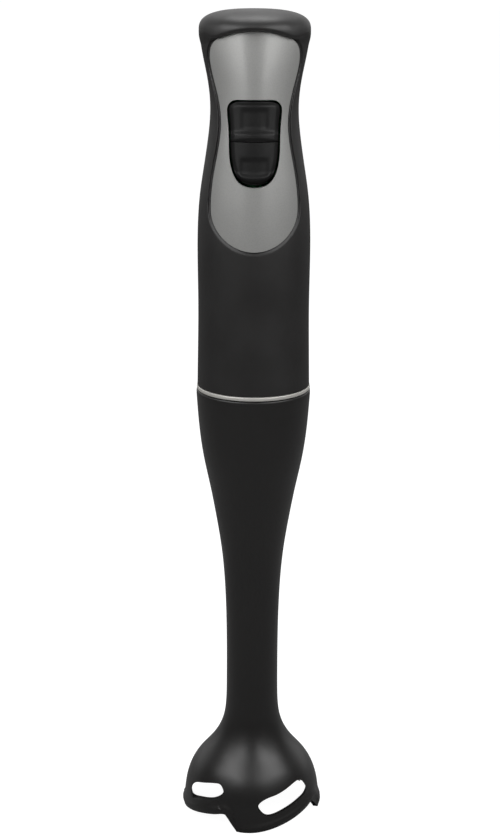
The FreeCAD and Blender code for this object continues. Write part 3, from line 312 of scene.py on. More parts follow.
# Moulded plastics: colour, roughness, scale of the grain, and other sockets.
MOULDED = {
    "black_plastic": ((0.0078, 0.0073, 0.0071), 0.38, 2600, {"Specular IOR Level": 0.5}),
    "handle_plastic": ((0.0075, 0.007, 0.0069), 0.5, 2600, {"Specular IOR Level": 0.5}),
    "button_rubber": ((0.006, 0.006, 0.006), 0.46, 1800, {"Specular IOR Level": 0.2}),
    "white_nylon": ((0.6, 0.59, 0.54), 0.45, 1500, {"Subsurface Weight": 0.06}),
    "dark_component": ((0.022, 0.022, 0.024), 0.5, 2200, {}),
}
GLOSS_SCALE, GLOSS_RANGE = 55, (0.9, 1.12)
TONE_SCALE, TONE_LIFT = 24, 1.16
GRAIN_DEPTH, GRAIN_STRENGTH = 0.012, 0.55
WAVE_SCALE, WAVE_DEPTH, WAVE_STRENGTH = 160, 0.02, 0.18


# ---------------------------------------------------------------- curves

def spline(points):
    """The natural cubic curve through (x, y) points, as a function of x."""
    x, y = np.array(points, float).T
    gaps = np.diff(x)
    count = len(x)
    matrix = np.eye(count)
    right = np.zeros(count)
    for i in range(1, count - 1):
        matrix[i, i - 1:i + 2] = gaps[i - 1], 2 * (gaps[i - 1] + gaps[i]), gaps[i]
        right[i] = 6 * ((y[i + 1] - y[i]) / gaps[i] - (y[i] - y[i - 1]) / gaps[i - 1])
    bend = np.linalg.solve(matrix, right)

    def curve(at):
        at = np.asarray(at, float)
        i = np.clip(np.searchsorted(x, at) - 1, 0, count - 2)
        gap, after, before = gaps[i], x[i + 1] - at, at - x[i]
        return ((bend[i] * after ** 3 + bend[i + 1] * before ** 3) / (6 * gap)
                + (y[i] / gap - bend[i] * gap / 6) * after
                + (y[i + 1] / gap - bend[i + 1] * gap / 6) * before)

    return curve


def closed_curve(points):
    """The smooth closed curve through the points, and the place along it of each point."""
    points = np.array(points, float)
    around = np.vstack([points, points, points, points[:1]])
    along = np.concatenate([[0], np.cumsum(np.linalg.norm(np.diff(around, axis=0), axis=1))])
    first = len(points)
    knots = along[first:2 * first + 1] - along[first]
    across = [spline(list(zip(along - along[first], around[:, axis]))) for axis in (0, 1)]

    def curve(at):
        return np.stack([axis(at) for axis in across], axis=-1)

    return curve, knots


def mirrored(outline):
    """The whole outline from its right half, anticlockwise from the bottom."""
    return outline + [(-x, z) for x, z in reversed(outline[1:-1])]


def smooth_step(low, high, at):
    share = np.clip((np.asarray(at, float) - low) / (high - low), 0, 1)
    return share * share * (3 - 2 * share)


# ---------------------------------------------------------------- meshes

def grid_faces(rows, columns, wrapped=False):
    faces = []
    for row in range(rows - 1):
        for column in range(columns if wrapped else columns - 1):
            after = (column + 1) % columns
            faces.append((row * columns + column, row * columns + after,
                          (row + 1) * columns + after, (row + 1) * columns + column))
    return faces


def welded(points, faces, *others):
    """Merges points that coincide, and drops the faces that this flattens."""
    _, first, index = np.unique(np.round(points, WELD_DECIMALS), axis=0, return_index=True,
                                return_inverse=True)
    index = index.ravel()
    kept = []
    for face in faces:
        corners = []
        for corner in (int(index[i]) for i in face):
            if corner not in corners:
                corners.append(corner)
        if len(corners) > 2:
            kept.append(tuple(corners))
    return (points[first], kept, *(other[first] for other in others))


def thickened(outer, inner, faces, stay_open=None):
    """Joins an outer and an inner skin along their open edges, apart from those that stay open."""
    count = len(outer)
    edges = set()
    for face in faces:
        for a, b in zip(face, face[1:] + face[:1]):
            if (b, a) in edges:
                edges.remove((b, a))
            else:
                edges.add((a, b))
    if stay_open is not None:
        edges = {(a, b) for a, b in edges if not (stay_open(outer[a]) and stay_open(outer[b]))}
    back = [tuple(count + i for i in reversed(face)) for face in faces]
    sides = [(b, a, count + a, count + b) for a, b in sorted(edges)]
    return np.vstack([outer, inner]), faces + back + sides


def joined(*parts):
    """One list of points and faces from several."""
    points, faces, start = [], [], 0
    for some_points, some_faces in parts:
        points.append(some_points)
        faces += [tuple(start + i for i in face) for face in some_faces]
        start += len(some_points)
    return np.vstack(points), faces


def make_piece(name, points, faces, material, body, stands_for=(), bevel=0.0, sharp=40):
    """A smooth-shaded mesh from points in millimetres, riding on a body."""
    mesh = bpy.data.meshes.new(name)
    mesh.from_pydata([tuple(p * MM) for p in np.asarray(points)], [], faces)
    made = bmesh.new()
    made.from_mesh(mesh)
    bmesh.ops.remove_doubles(made, verts=made.verts, dist=MERGE_WITHIN * MM)
    bmesh.ops.dissolve_degenerate(made, edges=made.edges, dist=DISSOLVE_UNDER * MM)
    bmesh.ops.recalc_face_normals(made, faces=made.faces)
    made.to_mesh(mesh)
    made.free()
    mesh.polygons.foreach_set("use_smooth", [True] * len(mesh.polygons))
    mesh.set_sharp_from_angle(angle=math.radians(sharp))
    piece = bpy.data.objects.new(name, mesh)
    bpy.context.scene.collection.objects.link(piece)
    piece.data.materials.append(material)
    if bevel:
        edge = piece.modifiers.new("edge", "BEVEL")
        edge.width = bevel * MM
        edge.segments = BEVEL_SEGMENTS
        edge.limit_method = "ANGLE"
        edge.angle_limit = math.radians(sharp)
        edge.harden_normals = True
    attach(piece, body)
    if stands_for:
        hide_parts(*stands_for)
    return piece


def lathe(profile, columns):
    """Points and faces of a closed profile of (radius, height) turned about Z."""
    turns = np.linspace(0, 2 * math.pi, columns, endpoint=False)
    radius, height = np.array(profile, float).T
    points = np.stack([np.outer(radius, np.cos(turns)), np.outer(radius, np.sin(turns)),
                       np.outer(height, np.ones(columns))], axis=-1)
    points = np.concatenate([points, points[:1]])
    faces = grid_faces(len(points), columns, wrapped=True)
    return welded(points.reshape(-1, 3), faces)


def rounded(profile, radius, steps=4):
    """A closed (radius, height) profile with its corners rounded by arcs."""
    corners = np.array(profile, float)
    count = len(corners)
    made = []
    for i in range(count):
        before, here, after = corners[i - 1], corners[i], corners[(i + 1) % count]
        one, two = before - here, after - here
        one_long, two_long = np.linalg.norm(one), np.linalg.norm(two)
        reach = min(radius, CORNER_SHARE * one_long, CORNER_SHARE * two_long)
        start = here + one / one_long * reach
        end = here + two / two_long * reach
        for share in np.linspace(0, 1, steps + 1):
            left = 1 - share
            made.append(left ** 2 * start + 2 * share * left * here + share ** 2 * end)
    return made


# ---------------------------------------------------------------- materials

class Finish:
    """A procedural material: its shader's own values, and textures that vary them."""

    def __init__(self, name, colour, roughness, metallic=0.0, sockets=None):
        self.material = bpy.data.materials.new(name)
        self.material.use_nodes = True
        self.tree = self.material.node_tree
        self.shader = self.tree.nodes["Principled BSDF"]
        self.colour = colour
        values = {"Base Color": (*colour, 1), "Roughness": roughness, "Metallic": metallic}
        for socket, value in {**values, **(sockets or {})}.items():
            self.shader.inputs[socket].default_value = value
        self.place = self.node("ShaderNodeTexCoord").outputs["Object"]
        self.normal = None

    def node(self, kind, **settings):
        made = self.tree.nodes.new(kind)
        for name, value in settings.items():
            setattr(made, name, value)
        return made

    def link(self, start, end):
        self.tree.links.new(start, end)

    def texture(self, kind, values, output, stretch=None, **settings):
        """A texture node, on the object's own coordinates or on those coordinates scaled."""
        made = self.node(kind, **settings)
        for socket, value in values.items():
            made.inputs[socket].default_value = value
        place = self.place
        if stretch:
            mapping = self.node("ShaderNodeMapping")
            mapping.inputs["Scale"].default_value = stretch
            self.link(place, mapping.inputs["Vector"])
            place = mapping.outputs["Vector"]
        self.link(place, made.inputs["Vector"])
        return made.outputs[output]

    def noise(self, scale, detail, stretch=None):
        values = {"Scale": scale, "Detail": detail}
        return self.texture("ShaderNodeTexNoise", values, "Fac", stretch)

    def cells(self, scale, stretch=None):
        return self.texture("ShaderNodeTexVoronoi", {"Scale": scale}, "Distance", stretch)

    def waves(self, scale, distortion=0.0):
        return self.texture("ShaderNodeTexWave", {"Scale": scale, "Distortion": distortion}, "Fac",
                            wave_type="BANDS", bands_direction="Z")

    def spread(self, amount, low, high, start=0.3, end=0.7):
        """Maps a texture's middle range onto low to high."""
        node = self.node("ShaderNodeMapRange")
        spans = (("From Min", start), ("From Max", end), ("To Min", low), ("To Max", high))
        for name, value in spans:
            node.inputs[name].default_value = value
        self.link(amount, node.inputs["Value"])
        return node.outputs["Result"]

    def rough(self, amount, low, high, *span):
        self.link(self.spread(amount, low, high, *span), self.shader.inputs["Roughness"])

    def tint(self, amount, other, *span):
        """Varies the colour towards another where the texture is high."""
        mix = self.node("ShaderNodeMix", data_type="RGBA")
        sockets = [s for s in mix.inputs if s.type == "RGBA"]
        sockets[0].default_value = (*self.colour, 1)
        sockets[1].default_value = (*other, 1)
        self.link(self.spread(amount, 0, 1, *span), mix.inputs[0])
        result = next(s for s in mix.outputs if s.type == "RGBA")
        self.link(result, self.shader.inputs["Base Color"])

    def bump(self, amount, depth, strength):
        """Adds relief of a depth in millimetres."""
        node = self.node("ShaderNodeBump")
        node.inputs["Distance"].default_value = depth * MM
        node.inputs["Strength"].default_value = strength
        self.link(amount, node.inputs["Height"])
        if self.normal is not None:
            self.link(self.normal, node.inputs["Normal"])
        self.normal = node.outputs["Normal"]
        self.link(self.normal, self.shader.inputs["Normal"])


def moulded(name, colour, roughness, grain, sockets):
    """Spark-textured moulded plastic: fine grain, and slow changes in gloss and tone."""
    made = Finish(name, colour, roughness, sockets=sockets)
    made.rough(made.noise(GLOSS_SCALE, 3), *(roughness * share for share in GLOSS_RANGE))
    made.tint(made.noise(TONE_SCALE, 2), tuple(c * TONE_LIFT for c in colour))
    made.bump(made.noise(grain, 2), GRAIN_DEPTH, GRAIN_STRENGTH)
    made.bump(made.noise(WAVE_SCALE, 2), WAVE_DEPTH, WAVE_STRENGTH)
    return made.material


def finished(name, row):
    """A material from its row of the table of finishes."""
    made = Finish(name, row["colour"], row["roughness"], row.get("metallic", 0.0),
                  row.get("sockets"))
    for change in ("rough", "tint", "bump"):
        (kind, *values), *settings = row[change]
        getattr(made, change)(getattr(made, kind)(*values), *settings)
    return made.material


def make_materials():
    made = {name: moulded(name, *row) for name, row in MOULDED.items()}
    made.update({name: finished(name, row) for name, row in FINISHES.items()})
    return made


# ---------------------------------------------------------------- wand

guard_radius = spline(GUARD_WALL)
cavity_radius = spline(CAVITY_WALL)
rim_height = spline(RIM)


def rim_at(along):
    return np.maximum(rim_height(along), 0)


def coarse_to_fine(count):
    """Shares from 0 to 1, closer together at both ends."""
    return (1 - np.cos(np.linspace(0, math.pi, count))) / 2


def segment_grid(outline):
    """One guard segment as rings between its window and its border, in degrees and height."""
    low, side, high = BORDER_LOW, BORDER_SIDE, BORDER_HIGH
    curve, knots = closed_curve([point for part in ("low", "end", "high", "start")
                                 for point in outline[part]])
    turn_a = len(outline["low"]) - 1
    turn_b = turn_a + 1 + len(outline["end"])
    turn_c = turn_b + len(outline["high"]) - 1
    ends = [knots[0], knots[turn_a], knots[turn_b], knots[turn_c], knots[-1]]
    spans = zip(ends[:-1], ends[1:], (low, side, high, side))
    window = np.vstack([curve(np.linspace(start, stop, count, endpoint=False))
                        for start, stop, count in spans])
    dense = np.linspace(0, SEGMENT, RIM_SAMPLES)
    reach = np.cumsum(np.hypot(np.diff(dense) * math.radians(1) * RIM_RADIUS,
                               np.diff(rim_at(dense))))
    reach = np.concatenate([[0], reach])
    along = np.interp(np.linspace(0, reach[-1], low, endpoint=False), reach, dense)
    rise = np.linspace(0, PATCH_TOP, side, endpoint=False)
    across = np.linspace(SEGMENT, 0, high, endpoint=False)
    border = np.vstack([np.stack([along, rim_at(along)], 1),
                        np.stack([np.full(side, SEGMENT), rise], 1),
                        np.stack([across, np.full(high, PATCH_TOP)], 1),
                        np.stack([np.zeros(side), PATCH_TOP - rise], 1)])
    share = coarse_to_fine(GUARD_RINGS)[:, None]
    grid = window * (1 - share[..., None]) + border * share[..., None]
    return grid, np.broadcast_to(share, grid.shape[:2])


def guard_point(angle, height, radius):
    turn = np.radians(angle)
    return np.stack([radius * np.sin(turn), -radius * np.cos(turn), height], axis=-1)


def cavity_point(outside, angle, share):
    """The wall's inner side: windows are cut straight through, front to back."""
    x, y, height = outside.T
    radius = cavity_radius(height)
    straight_x = np.clip(x, -CUT_LIMIT * radius, CUT_LIMIT * radius)
    straight_y = np.sign(y) * np.sqrt(radius ** 2 - straight_x ** 2)
    straight = np.stack([straight_x, straight_y, height], axis=-1)
    square = guard_point(angle, height, radius)
    near_window = (1 - smooth_step(0, CUT_SHARE, share))[:, None]
    mixed = square * (1 - near_window) + straight * near_window
    mixed[:, :2] *= (radius / np.hypot(mixed[:, 0], mixed[:, 1]))[:, None]
    return mixed


def wand_shell(material):
    """The guard with four swept windows over a wavy rim, and the shaft and shoulder above it."""
    outer, inner, all_faces = [], [], []
    for segment in range(SEGMENTS):
        grid, share = segment_grid(WINDOWS[segment % len(WINDOWS)])
        along, height, share = grid[..., 0].ravel(), grid[..., 1].ravel(), share.ravel()
        angle = SEGMENT_FIRST + segment * SEGMENT + along
        bead = BEAD * np.exp(-((height - rim_at(along) - BEAD_ABOVE) / BEAD_HEIGHT) ** 2)
        outside = guard_point(angle, height, guard_radius(height) + bead)
        outer.append(outside)
        inner.append(cavity_point(outside, angle, share))
        faces = grid_faces(*grid.shape[:2], wrapped=True)
        all_faces += [tuple(segment * len(along) + i for i in face) for face in faces]
    outer, all_faces, inner = welded(np.vstack(outer), all_faces, np.vstack(inner))
    guard = thickened(outer, inner, all_faces,
                      stay_open=lambda point: point[2] > PATCH_TOP - PATCH_EDGE)

    columns = SEGMENTS * BORDER_HIGH
    angles = SEGMENT_FIRST + np.arange(columns) * SEGMENT / BORDER_HIGH
    (narrow_top, narrow_rows), (wall_top, wall_rows) = SHAFT_SPANS
    rise = np.concatenate([np.linspace(PATCH_TOP, narrow_top, narrow_rows),
                           np.linspace(narrow_top, wall_top, wall_rows)[1:]])
    profile = [(float(guard_radius(z)), z) for z in rise] + SHOULDER
    profile += [(SPIGOT_SEAT + SPIGOT_EDGE, WAND_TOP), (SPIGOT_SEAT, WAND_TOP - SPIGOT_EDGE),
                (SPIGOT_SEAT, SPIGOT_LOW)] + BORE
    cavity = np.linspace(CAVITY_WALL[-1][0], PATCH_TOP, CAVITY_ROWS)
    profile += [(float(cavity_radius(z)), z) for z in cavity]
    radius, height = np.array(profile).T
    tube = guard_point(angles[None, :], np.outer(height, np.ones(columns)), radius[:, None])
    shaft = (tube.reshape(-1, 3), grid_faces(len(profile), columns, wrapped=True))
    points, faces = welded(*joined(guard, shaft))
    make_piece("wand_shell", points, faces, material, "wand",
               ["wand_housing"], bevel=0.6, sharp=50)


# ---------------------------------------------------------------- handle

section_side, section_front, section_back = (
    spline([(section[0], section[column]) for section in SECTIONS]) for column in (1, 2, 3))


def lip_height(across):
    """The height of the crown's lower edge in front, which arches over the panel."""
    return LIP_HIGH - LIP_ARC * across ** 2


def body_radius(turn, height, inset):
    """Distance from the axis to the handle's body in a direction; turn 0 is the front."""
    height = np.minimum(height, CROWN_LOW)
    side = section_side(height) - inset
    depth = np.where(np.cos(turn) > 0, section_front(height), section_back(height)) - inset
    return 1 / np.hypot(np.sin(turn) / side, np.cos(turn) / depth)


def handle_grid(first, last, columns, rows_below, inset=0.0):
    """The handle's skin between two directions in degrees: body rows, lip rows and crown rows."""
    turn = np.radians(np.linspace(first, last, columns))[None, :]
    across = CROWN_RADIUS * np.sin(turn)
    ahead = np.cos(turn) > 0
    fade = np.where(ahead, smooth_step(LIP_SHARP_TO, LIP_GONE_AT, np.abs(across)), 1.0)
    lip = np.where(ahead, lip_height(across), lip_height(CROWN_RADIUS)) + inset * (1 - fade)
    crown = CROWN_RADIUS - inset
    rise = CROWN_RISE - inset

    share = np.linspace(0, 1, rows_below)[:, None] ** BODY_EASE
    height = HANDLE_LOW + (lip - HANDLE_LOW) * share
    radius = body_radius(turn, height, inset)
    rows = [(radius, height)]

    spread = LIP_ROUND * (1 - fade) + (CROWN_LOW - lip) * fade
    step = np.linspace(0, 1, LIP_ROWS)[1:, None]
    flat = np.clip(step / LIP_FLAT, 0, 1)
    curl = np.clip((step - LIP_FLAT) / (1 - LIP_FLAT), 0, 1) * math.pi / 2
    hard_out = LIP_FLAT_OUT * flat + (1 - LIP_FLAT_OUT) * np.sin(curl)
    hard_up = LIP_FLAT_UP * flat + (1 - LIP_FLAT_UP) * (1 - np.cos(curl))
    outward = hard_out * (1 - fade) + smooth_step(0, 1, step) * fade
    upward = hard_up * (1 - fade) + step * fade
    lip_rows = lip + spread * upward
    base = body_radius(turn, np.minimum(lip_rows, lip + (lip_rows - lip) * fade), inset)
    start = lip + spread
    first_turn = np.arcsin(np.clip((start - CROWN_LOW) / rise, 0, 1) ** (CROWN_POWER / 2))
    rim = crown * np.cos(first_turn) ** (2 / CROWN_POWER)
    radius = ((base + (crown - base) * outward) * (1 - outward)
              + outward * (base + (rim - base) * outward))
    rows.append((radius, lip_rows))

    drop = np.maximum(CROWN_LOW - start, 0)
    step = np.linspace(0, 1, CROWN_ROWS)[1:, None]
    curl = first_turn + (math.pi / 2 - first_turn) * step
    height = CROWN_LOW + rise * np.sin(curl) ** (2 / CROWN_POWER) - drop * (1 - step) ** 3
    radius = crown * np.abs(np.cos(curl)) ** (2 / CROWN_POWER)
    radius[-1] = 0
    rows.append((radius, height))

    radius = np.vstack([np.broadcast_to(r, (len(r), columns)) for r, _ in rows])
    height = np.vstack([np.broadcast_to(h, (len(h), columns)) for _, h in rows])
    turn = np.broadcast_to(turn, radius.shape)
    return np.stack([radius * np.sin(turn), -radius * np.cos(turn), height], axis=-1)


def pierced(outer, inner, faces, distance, way):
    """Opens a hole where distance(x, z) is negative, with its edge drawn onto the zero line."""
    skins = [BVHTree.FromPolygons([tuple(p) for p in skin], faces) for skin in (outer, inner)]
    centres = np.array([outer[list(face)].mean(0) for face in faces])
    inside = distance(centres[:, 0], centres[:, 2]) < 0
    inside &= centres[:, 1] * way > 0
    kept = [face for face, gone in zip(faces, inside) if not gone]
    lost = {i for face, gone in zip(faces, inside) if gone for i in face}
    edge = lost & {i for face in kept for i in face}
    for i in edge:
        x, z = outer[i, 0], outer[i, 2]
        for _ in range(SNAP_TURNS):
            here = distance(x, z)
            slope = np.array([distance(x + NUDGE, z) - here,
                              distance(x, z + NUDGE) - here]) / NUDGE
            slope /= max(slope @ slope, LEAST_SLOPE)
            x, z = x - here * slope[0], z - here * slope[1]
        for skin, tree in zip((outer, inner), skins):
            hit = tree.ray_cast(Vector((x, RAY_START * way, z)), Vector((0, -way, 0)))[0]
            if hit is not None:
                skin[i] = hit
    used = sorted({i for face in kept for i in face})
    index = {old: new for new, old in enumerate(used)}
    return outer[used], inner[used], [tuple(index[i] for i in face) for face in kept]


def outline_distance(outline, grow=0.0):
    """Signed distance from a closed outline, negative inside."""
    curve, knots = closed_curve(mirrored(outline))
    loop = curve(np.linspace(0, knots[-1], OUTLINE_SAMPLES, endpoint=False))
    middle = loop.mean(0)

    def distance(x, z):
        x, z = np.broadcast_arrays(np.asarray(x, float), np.asarray(z, float))
        points = np.stack([x.ravel(), z.ravel()], 1)
        nearest = np.argmin((points[:, :1] - loop[:, 0]) ** 2
                            + (points[:, 1:] - loop[:, 1]) ** 2, axis=1)
        gap = points - loop[nearest]
        tangent = np.roll(loop, -1, axis=0)[nearest] - np.roll(loop, 1, axis=0)[nearest]
        normal = np.stack([tangent[:, 1], -tangent[:, 0]], 1)
        normal *= np.sign((normal * (loop[nearest] - middle)).sum(1, keepdims=True))
        side = np.sign((gap * normal).sum(1))
        result = side * np.linalg.norm(gap, axis=1) - grow
        return result.reshape(x.shape) if x.shape else float(result[0])

    return distance


def disc_distance(x_middle, z_middle, radius):
    return lambda x, z: np.hypot(x - x_middle, z - z_middle) - radius


def shell_skins(first, last, columns, rows_below):
    outer = handle_grid(first, last, columns, rows_below)
    inner = handle_grid(first, last, columns, rows_below, inset=WALL)
    faces = grid_faces(*outer.shape[:2])
    return welded(outer.reshape(-1, 3), faces, inner.reshape(-1, 3))


def groove(points):
    """How far the shell steps back under the panel and just outside it."""
    depth = np.zeros(len(points))
    x, z = points[:, 0], points[:, 2]
    near = (z > GROOVE_LOW) & (z < lip_height(x) - GROOVE_LIP_GAP) & (np.abs(x) < LIP_GONE_AT)
    gap = outline_distance(PANEL)(x[near], z[near])
    share = GROOVE_END_SHARE + (1 - GROOVE_END_SHARE) * smooth_step(*GROOVE_END, z[near])
    depth[near] = GROOVE_DEPTH * share * smooth_step(GROOVE_WIDTH + GROOVE_BLEND, GROOVE_WIDTH, gap)
    return depth


def handle_shells(material):
    """The two halves of the handle, with the buttons', the plugs' and the sleeve's holes."""
    outer, faces, inner = shell_skins(-90, 90, *FRONT_GRID)
    step_back = groove(outer)
    outer[:, 1] += step_back
    inner[:, 1] += step_back
    opening = outline_distance(OPENING, SHELL_HOLE_GAP)
    outer, inner, faces = pierced(outer, inner, faces, opening, -1)
    points, faces = thickened(outer, inner, faces)
    make_piece("front_housing", points, faces, material, "handle",
               ["front_shell"], bevel=0.25, sharp=60)

    outer, faces, inner = shell_skins(90, 270, *REAR_GRID)
    low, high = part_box("cord_grommet")
    holes = [(0.0, (low.z + high.z) / 2 / MM, SLEEVE_HOLE)]
    holes += [(side * x, z, PLUG_HOLE) for side in (-1, 1) for x, z in PLUGS]
    for x, z, radius in holes:
        outer, inner, faces = pierced(outer, inner, faces, disc_distance(x, z, radius), 1)
    points, faces = thickened(outer, inner, faces)
    make_piece("rear_housing", points, faces, material, "handle",
               ["rear_shell"], bevel=0.25, sharp=60)


def face_depth(x, height, proud, side):
    """How far forward the front face reaches, raised by a margin."""
    reach = section_side(height) + side
    return (section_front(height) + proud) * np.sqrt(np.clip(1 - (x / reach) ** 2, 0, 1))


def panel(material):
    """The thumb panel: rings between the button opening and its outer edge."""
    loops = []
    for outline in (OPENING, PANEL):
        curve, knots = closed_curve(mirrored(outline))
        ends = (0, knots[len(outline) - 1], knots[-1])
        loops.append(np.vstack([curve(np.linspace(start, stop, PANEL_POINTS // 2, endpoint=False))
                                for start, stop in zip(ends, ends[1:])]))
    share = coarse_to_fine(PANEL_RINGS)[:, None, None]
    grid = loops[0] * (1 - share) + loops[1] * share
    x, z = grid[..., 0].ravel(), grid[..., 1].ravel()
    z = np.minimum(z, lip_height(x) - PANEL_LIP_GAP)
    outer = np.stack([x, -face_depth(x, z, PANEL_PROUD, PANEL_SIDE), z], 1)
    inner = np.stack([x, -face_depth(x, z, PANEL_SUNK, 0) + GROOVE_DEPTH, z], 1)
    points, faces = thickened(outer, inner, grid_faces(PANEL_RINGS, PANEL_POINTS, wrapped=True))
    make_piece("thumb_panel", points, faces, material, "handle", ["grey_panel"],
               bevel=0.6, sharp=50)


def coons(low, right, high, left):
    """A grid filling four border curves; low and high run rightwards, left and right upwards."""
    v = np.linspace(0, 1, len(left))[:, None, None]
    u = np.linspace(0, 1, len(low))[None, :, None]
    ruled = (1 - v) * low[None] + v * high[None] + (1 - u) * left[:, None] + u * right[:, None]
    corners = ((1 - u) * (1 - v) * low[0] + u * (1 - v) * low[-1]
               + (1 - u) * v * high[0] + u * v * high[-1])
    return ruled - corners


def sampled(points, count):
    """A run of points spaced evenly along the line through some others."""
    along = np.concatenate([[0], np.cumsum(np.linalg.norm(np.diff(points, axis=0), axis=1))])
    at = np.linspace(0, along[-1], count)
    return np.stack([np.interp(at, along, points[:, axis]) for axis in (0, 1)], 1)


def button_grid(which):
    """The front of a cap as a grid of (across, height) between the split and the opening's edge."""
    inset = [(x * (1 - BUTTON_GAP / BUTTON_HALF),
              z + BUTTON_GAP * (1 if z < BUTTON_MIDDLE else -1) * (x < BUTTON_ENDS))
             for x, z in OPENING]
    curve, knots = closed_curve(mirrored(inset))
    edge = curve(np.linspace(0, knots[len(OPENING) - 1], BUTTON_SAMPLES))
    edge[:, 0] = np.maximum(edge[:, 0], 0)
    columns, rows = BUTTON_GRID
    corner = BUTTON_CORNER[which]
    mirror = np.array([-1, 1])
    if which == "high":
        split = BUTTON_SPLIT + SPLIT_GAP / 2
        chain = edge[edge[:, 1] >= split]
        side = chain[chain[:, 1] <= corner]
        cap = np.vstack([side[-1:], chain[chain[:, 1] >= corner]])
        side[0, 1] = split
        right = sampled(side, rows)
        high = sampled(np.vstack([cap * mirror, cap[::-1]]), columns)
        low = sampled(np.array([right[0] * mirror, right[0]]), columns)
    else:
        split = BUTTON_SPLIT - SPLIT_GAP / 2
        chain = edge[edge[:, 1] <= split]
        side = chain[chain[:, 1] >= corner]
        cap = np.vstack([chain[chain[:, 1] <= corner], side[:1]])
        side[-1, 1] = split
        right = sampled(side, rows)
        low = sampled(np.vstack([(cap * mirror)[::-1], cap]), columns)
        high = sampled(np.array([right[-1] * mirror, right[-1]]), columns)
    return coons(low, right, high, right * mirror)


def button_cap(which, material):
    """A button cap with its finger dish, and the raised bar or the lip that the thumb feels."""
    grid = button_grid(which)
    x, z = grid[..., 0].ravel(), grid[..., 1].ravel()
    fall = smooth_step(*CAP_FALL, outline_distance(OPENING)(x, z))
    face = face_depth(x, z, BUTTON_PROUD, BUTTON_SIDE)
    outer = np.stack([x, -face - (button_relief(which, x, z) - fall), z], 1)
    inner = np.stack([x, -face + BUTTON_DEPTH, z], 1)
    cap = thickened(outer, inner, grid_faces(*grid.shape[:2]))
    stem, stem_faces = lathe(rounded(BOSS, BOSS_ROUND), BOSS_COLUMNS)
    stem = np.stack([stem[:, 0], stem[:, 2] + BOSS_START, stem[:, 1] + SPRING_HEIGHTS[which]], 1)
    points, faces = joined(cap, (stem, stem_faces))
    make_piece(f"{which}_button_cap", points, faces, material, f"{which}_button",
               [f"{which}_button"], bevel=0.75, sharp=50)


def button_relief(which, x, z):
    """Height of the cap's own relief above its face."""
    deep, side, low, high = DISHES[which]
    dish = smooth_step(*side, np.abs(x)) * smooth_step(*low, z) * smooth_step(*high, z)
    if which == "high":
        edge = BAR_LOW + BAR_ARCH * np.clip(1 - (x / BAR_HALF) ** 2, 0, 1)
        bar = smooth_step(edge - BAR_SOFT, edge + BAR_SOFT, z) * smooth_step(*BAR_TOP, z)
        return -deep * dish + BAR_RISE * bar
    edge = TOE_LOW + TOE_ARC * x ** 2
    below, inner, outer = TOE_SOFT
    lip = smooth_step(edge + below, edge, z) * smooth_step(edge + outer, edge + inner, z)
    fall = smooth_step(edge, edge - TOE_REACH, z)
    return -deep * dish + TOE_RISE * lip - TOE_DROP * fall


def coil(radius, wire, length, turns, steps=28, around=10):
    """Points and faces of a spring along Z with closed ground ends."""
    count = int(steps * turns)
    share = np.linspace(0, 1, count + 1)
    turn = 2 * math.pi * turns * share
    climb = smooth_step(*SPRING_EASE, share)
    climb = wire + (length - 2 * wire) * (climb - climb[0]) / (climb[-1] - climb[0])
    ring = np.linspace(0, 2 * math.pi, around, endpoint=False)
    out = (radius - wire) + wire * np.cos(ring)[None, :]
    points = np.stack([out * np.cos(turn)[:, None], out * np.sin(turn)[:, None],
                       climb[:, None] + wire * np.sin(ring)[None, :]], axis=-1)
    faces = grid_faces(count + 1, around, wrapped=True)
    last = count * around
    faces += [tuple(range(around))[::-1], tuple(range(last, last + around))]
    return points.reshape(-1, 3), faces


def button_springs(material):
    """The return springs behind the two buttons."""
    for which, height in SPRING_HEIGHTS.items():
        low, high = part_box(f"{which}_button_spring")
        length = (high.y - low.y) / MM
        points, faces = coil(SPRING_RADIUS, SPRING_WIRE, length, SPRING_TURNS)
        points = np.stack([points[:, 0], high.y / MM - points[:, 2], points[:, 1] + height], 1)
        piece = make_piece(f"{which}_spring", points, faces, material, "handle",
                           [f"{which}_button_spring"])
        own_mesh(piece)


def trim_band(material):
    """The thin bright ring under the handle, with a slightly swelling side."""
    low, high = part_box("trim_ring")
    bottom, top = low.z / MM, high.z / MM + TRIM_RISE
    profile = [(TRIM_INNER, bottom), (TRIM_OUTER, bottom),
               (TRIM_OUTER + TRIM_SWELL, (bottom + top) / 2), (TRIM_OUTER, top), (TRIM_INNER, top)]
    points, faces = lathe(rounded(profile, TRIM_ROUND), TRIM_COLUMNS)
    make_piece("trim_band", points, faces, material, "lock_ring", ["trim_ring"], sharp=50)


def cord_sleeve(material):
    """The rubber sleeve of the cord's inlet, with shallow ribs round its mouth."""
    low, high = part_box("cord_grommet")
    start, end = low.y / MM, high.y / MM
    centre = (low.z + high.z) / 2 / MM
    behind = start + SLEEVE_FLANGE_DEPTH
    profile = [(SLEEVE_BORE, start), (SLEEVE_FLANGE, start), (SLEEVE_FLANGE, behind),
               (SLEEVE_NECK, behind)]
    profile += [(radius, end - back) for radius, back in SLEEVE_RIBS] + [(SLEEVE_BORE, end)]
    points, faces = lathe(rounded(profile, SLEEVE_ROUND), SLEEVE_COLUMNS)
    points = np.stack([points[:, 0], points[:, 2], centre - points[:, 1]], 1)
    make_piece("cord_sleeve", points, faces, material, "handle", ["cord_grommet"],
               sharp=50)


# ---------------------------------------------------------------- stage, lights and camera

def shown_to_camera(tree, plain, lit, output):
    """Shows the plain shader to the camera, and lets the lit one light everything else."""
    seen = tree.nodes.new("ShaderNodeLightPath")
    mix = tree.nodes.new("ShaderNodeMixShader")
    tree.links.new(seen.outputs["Is Camera Ray"], mix.inputs[0])
    tree.links.new(lit.outputs[0], mix.inputs[1])
    tree.links.new(plain.outputs[0], mix.inputs[2])
    tree.links.new(mix.outputs[0], output.inputs["Surface"])


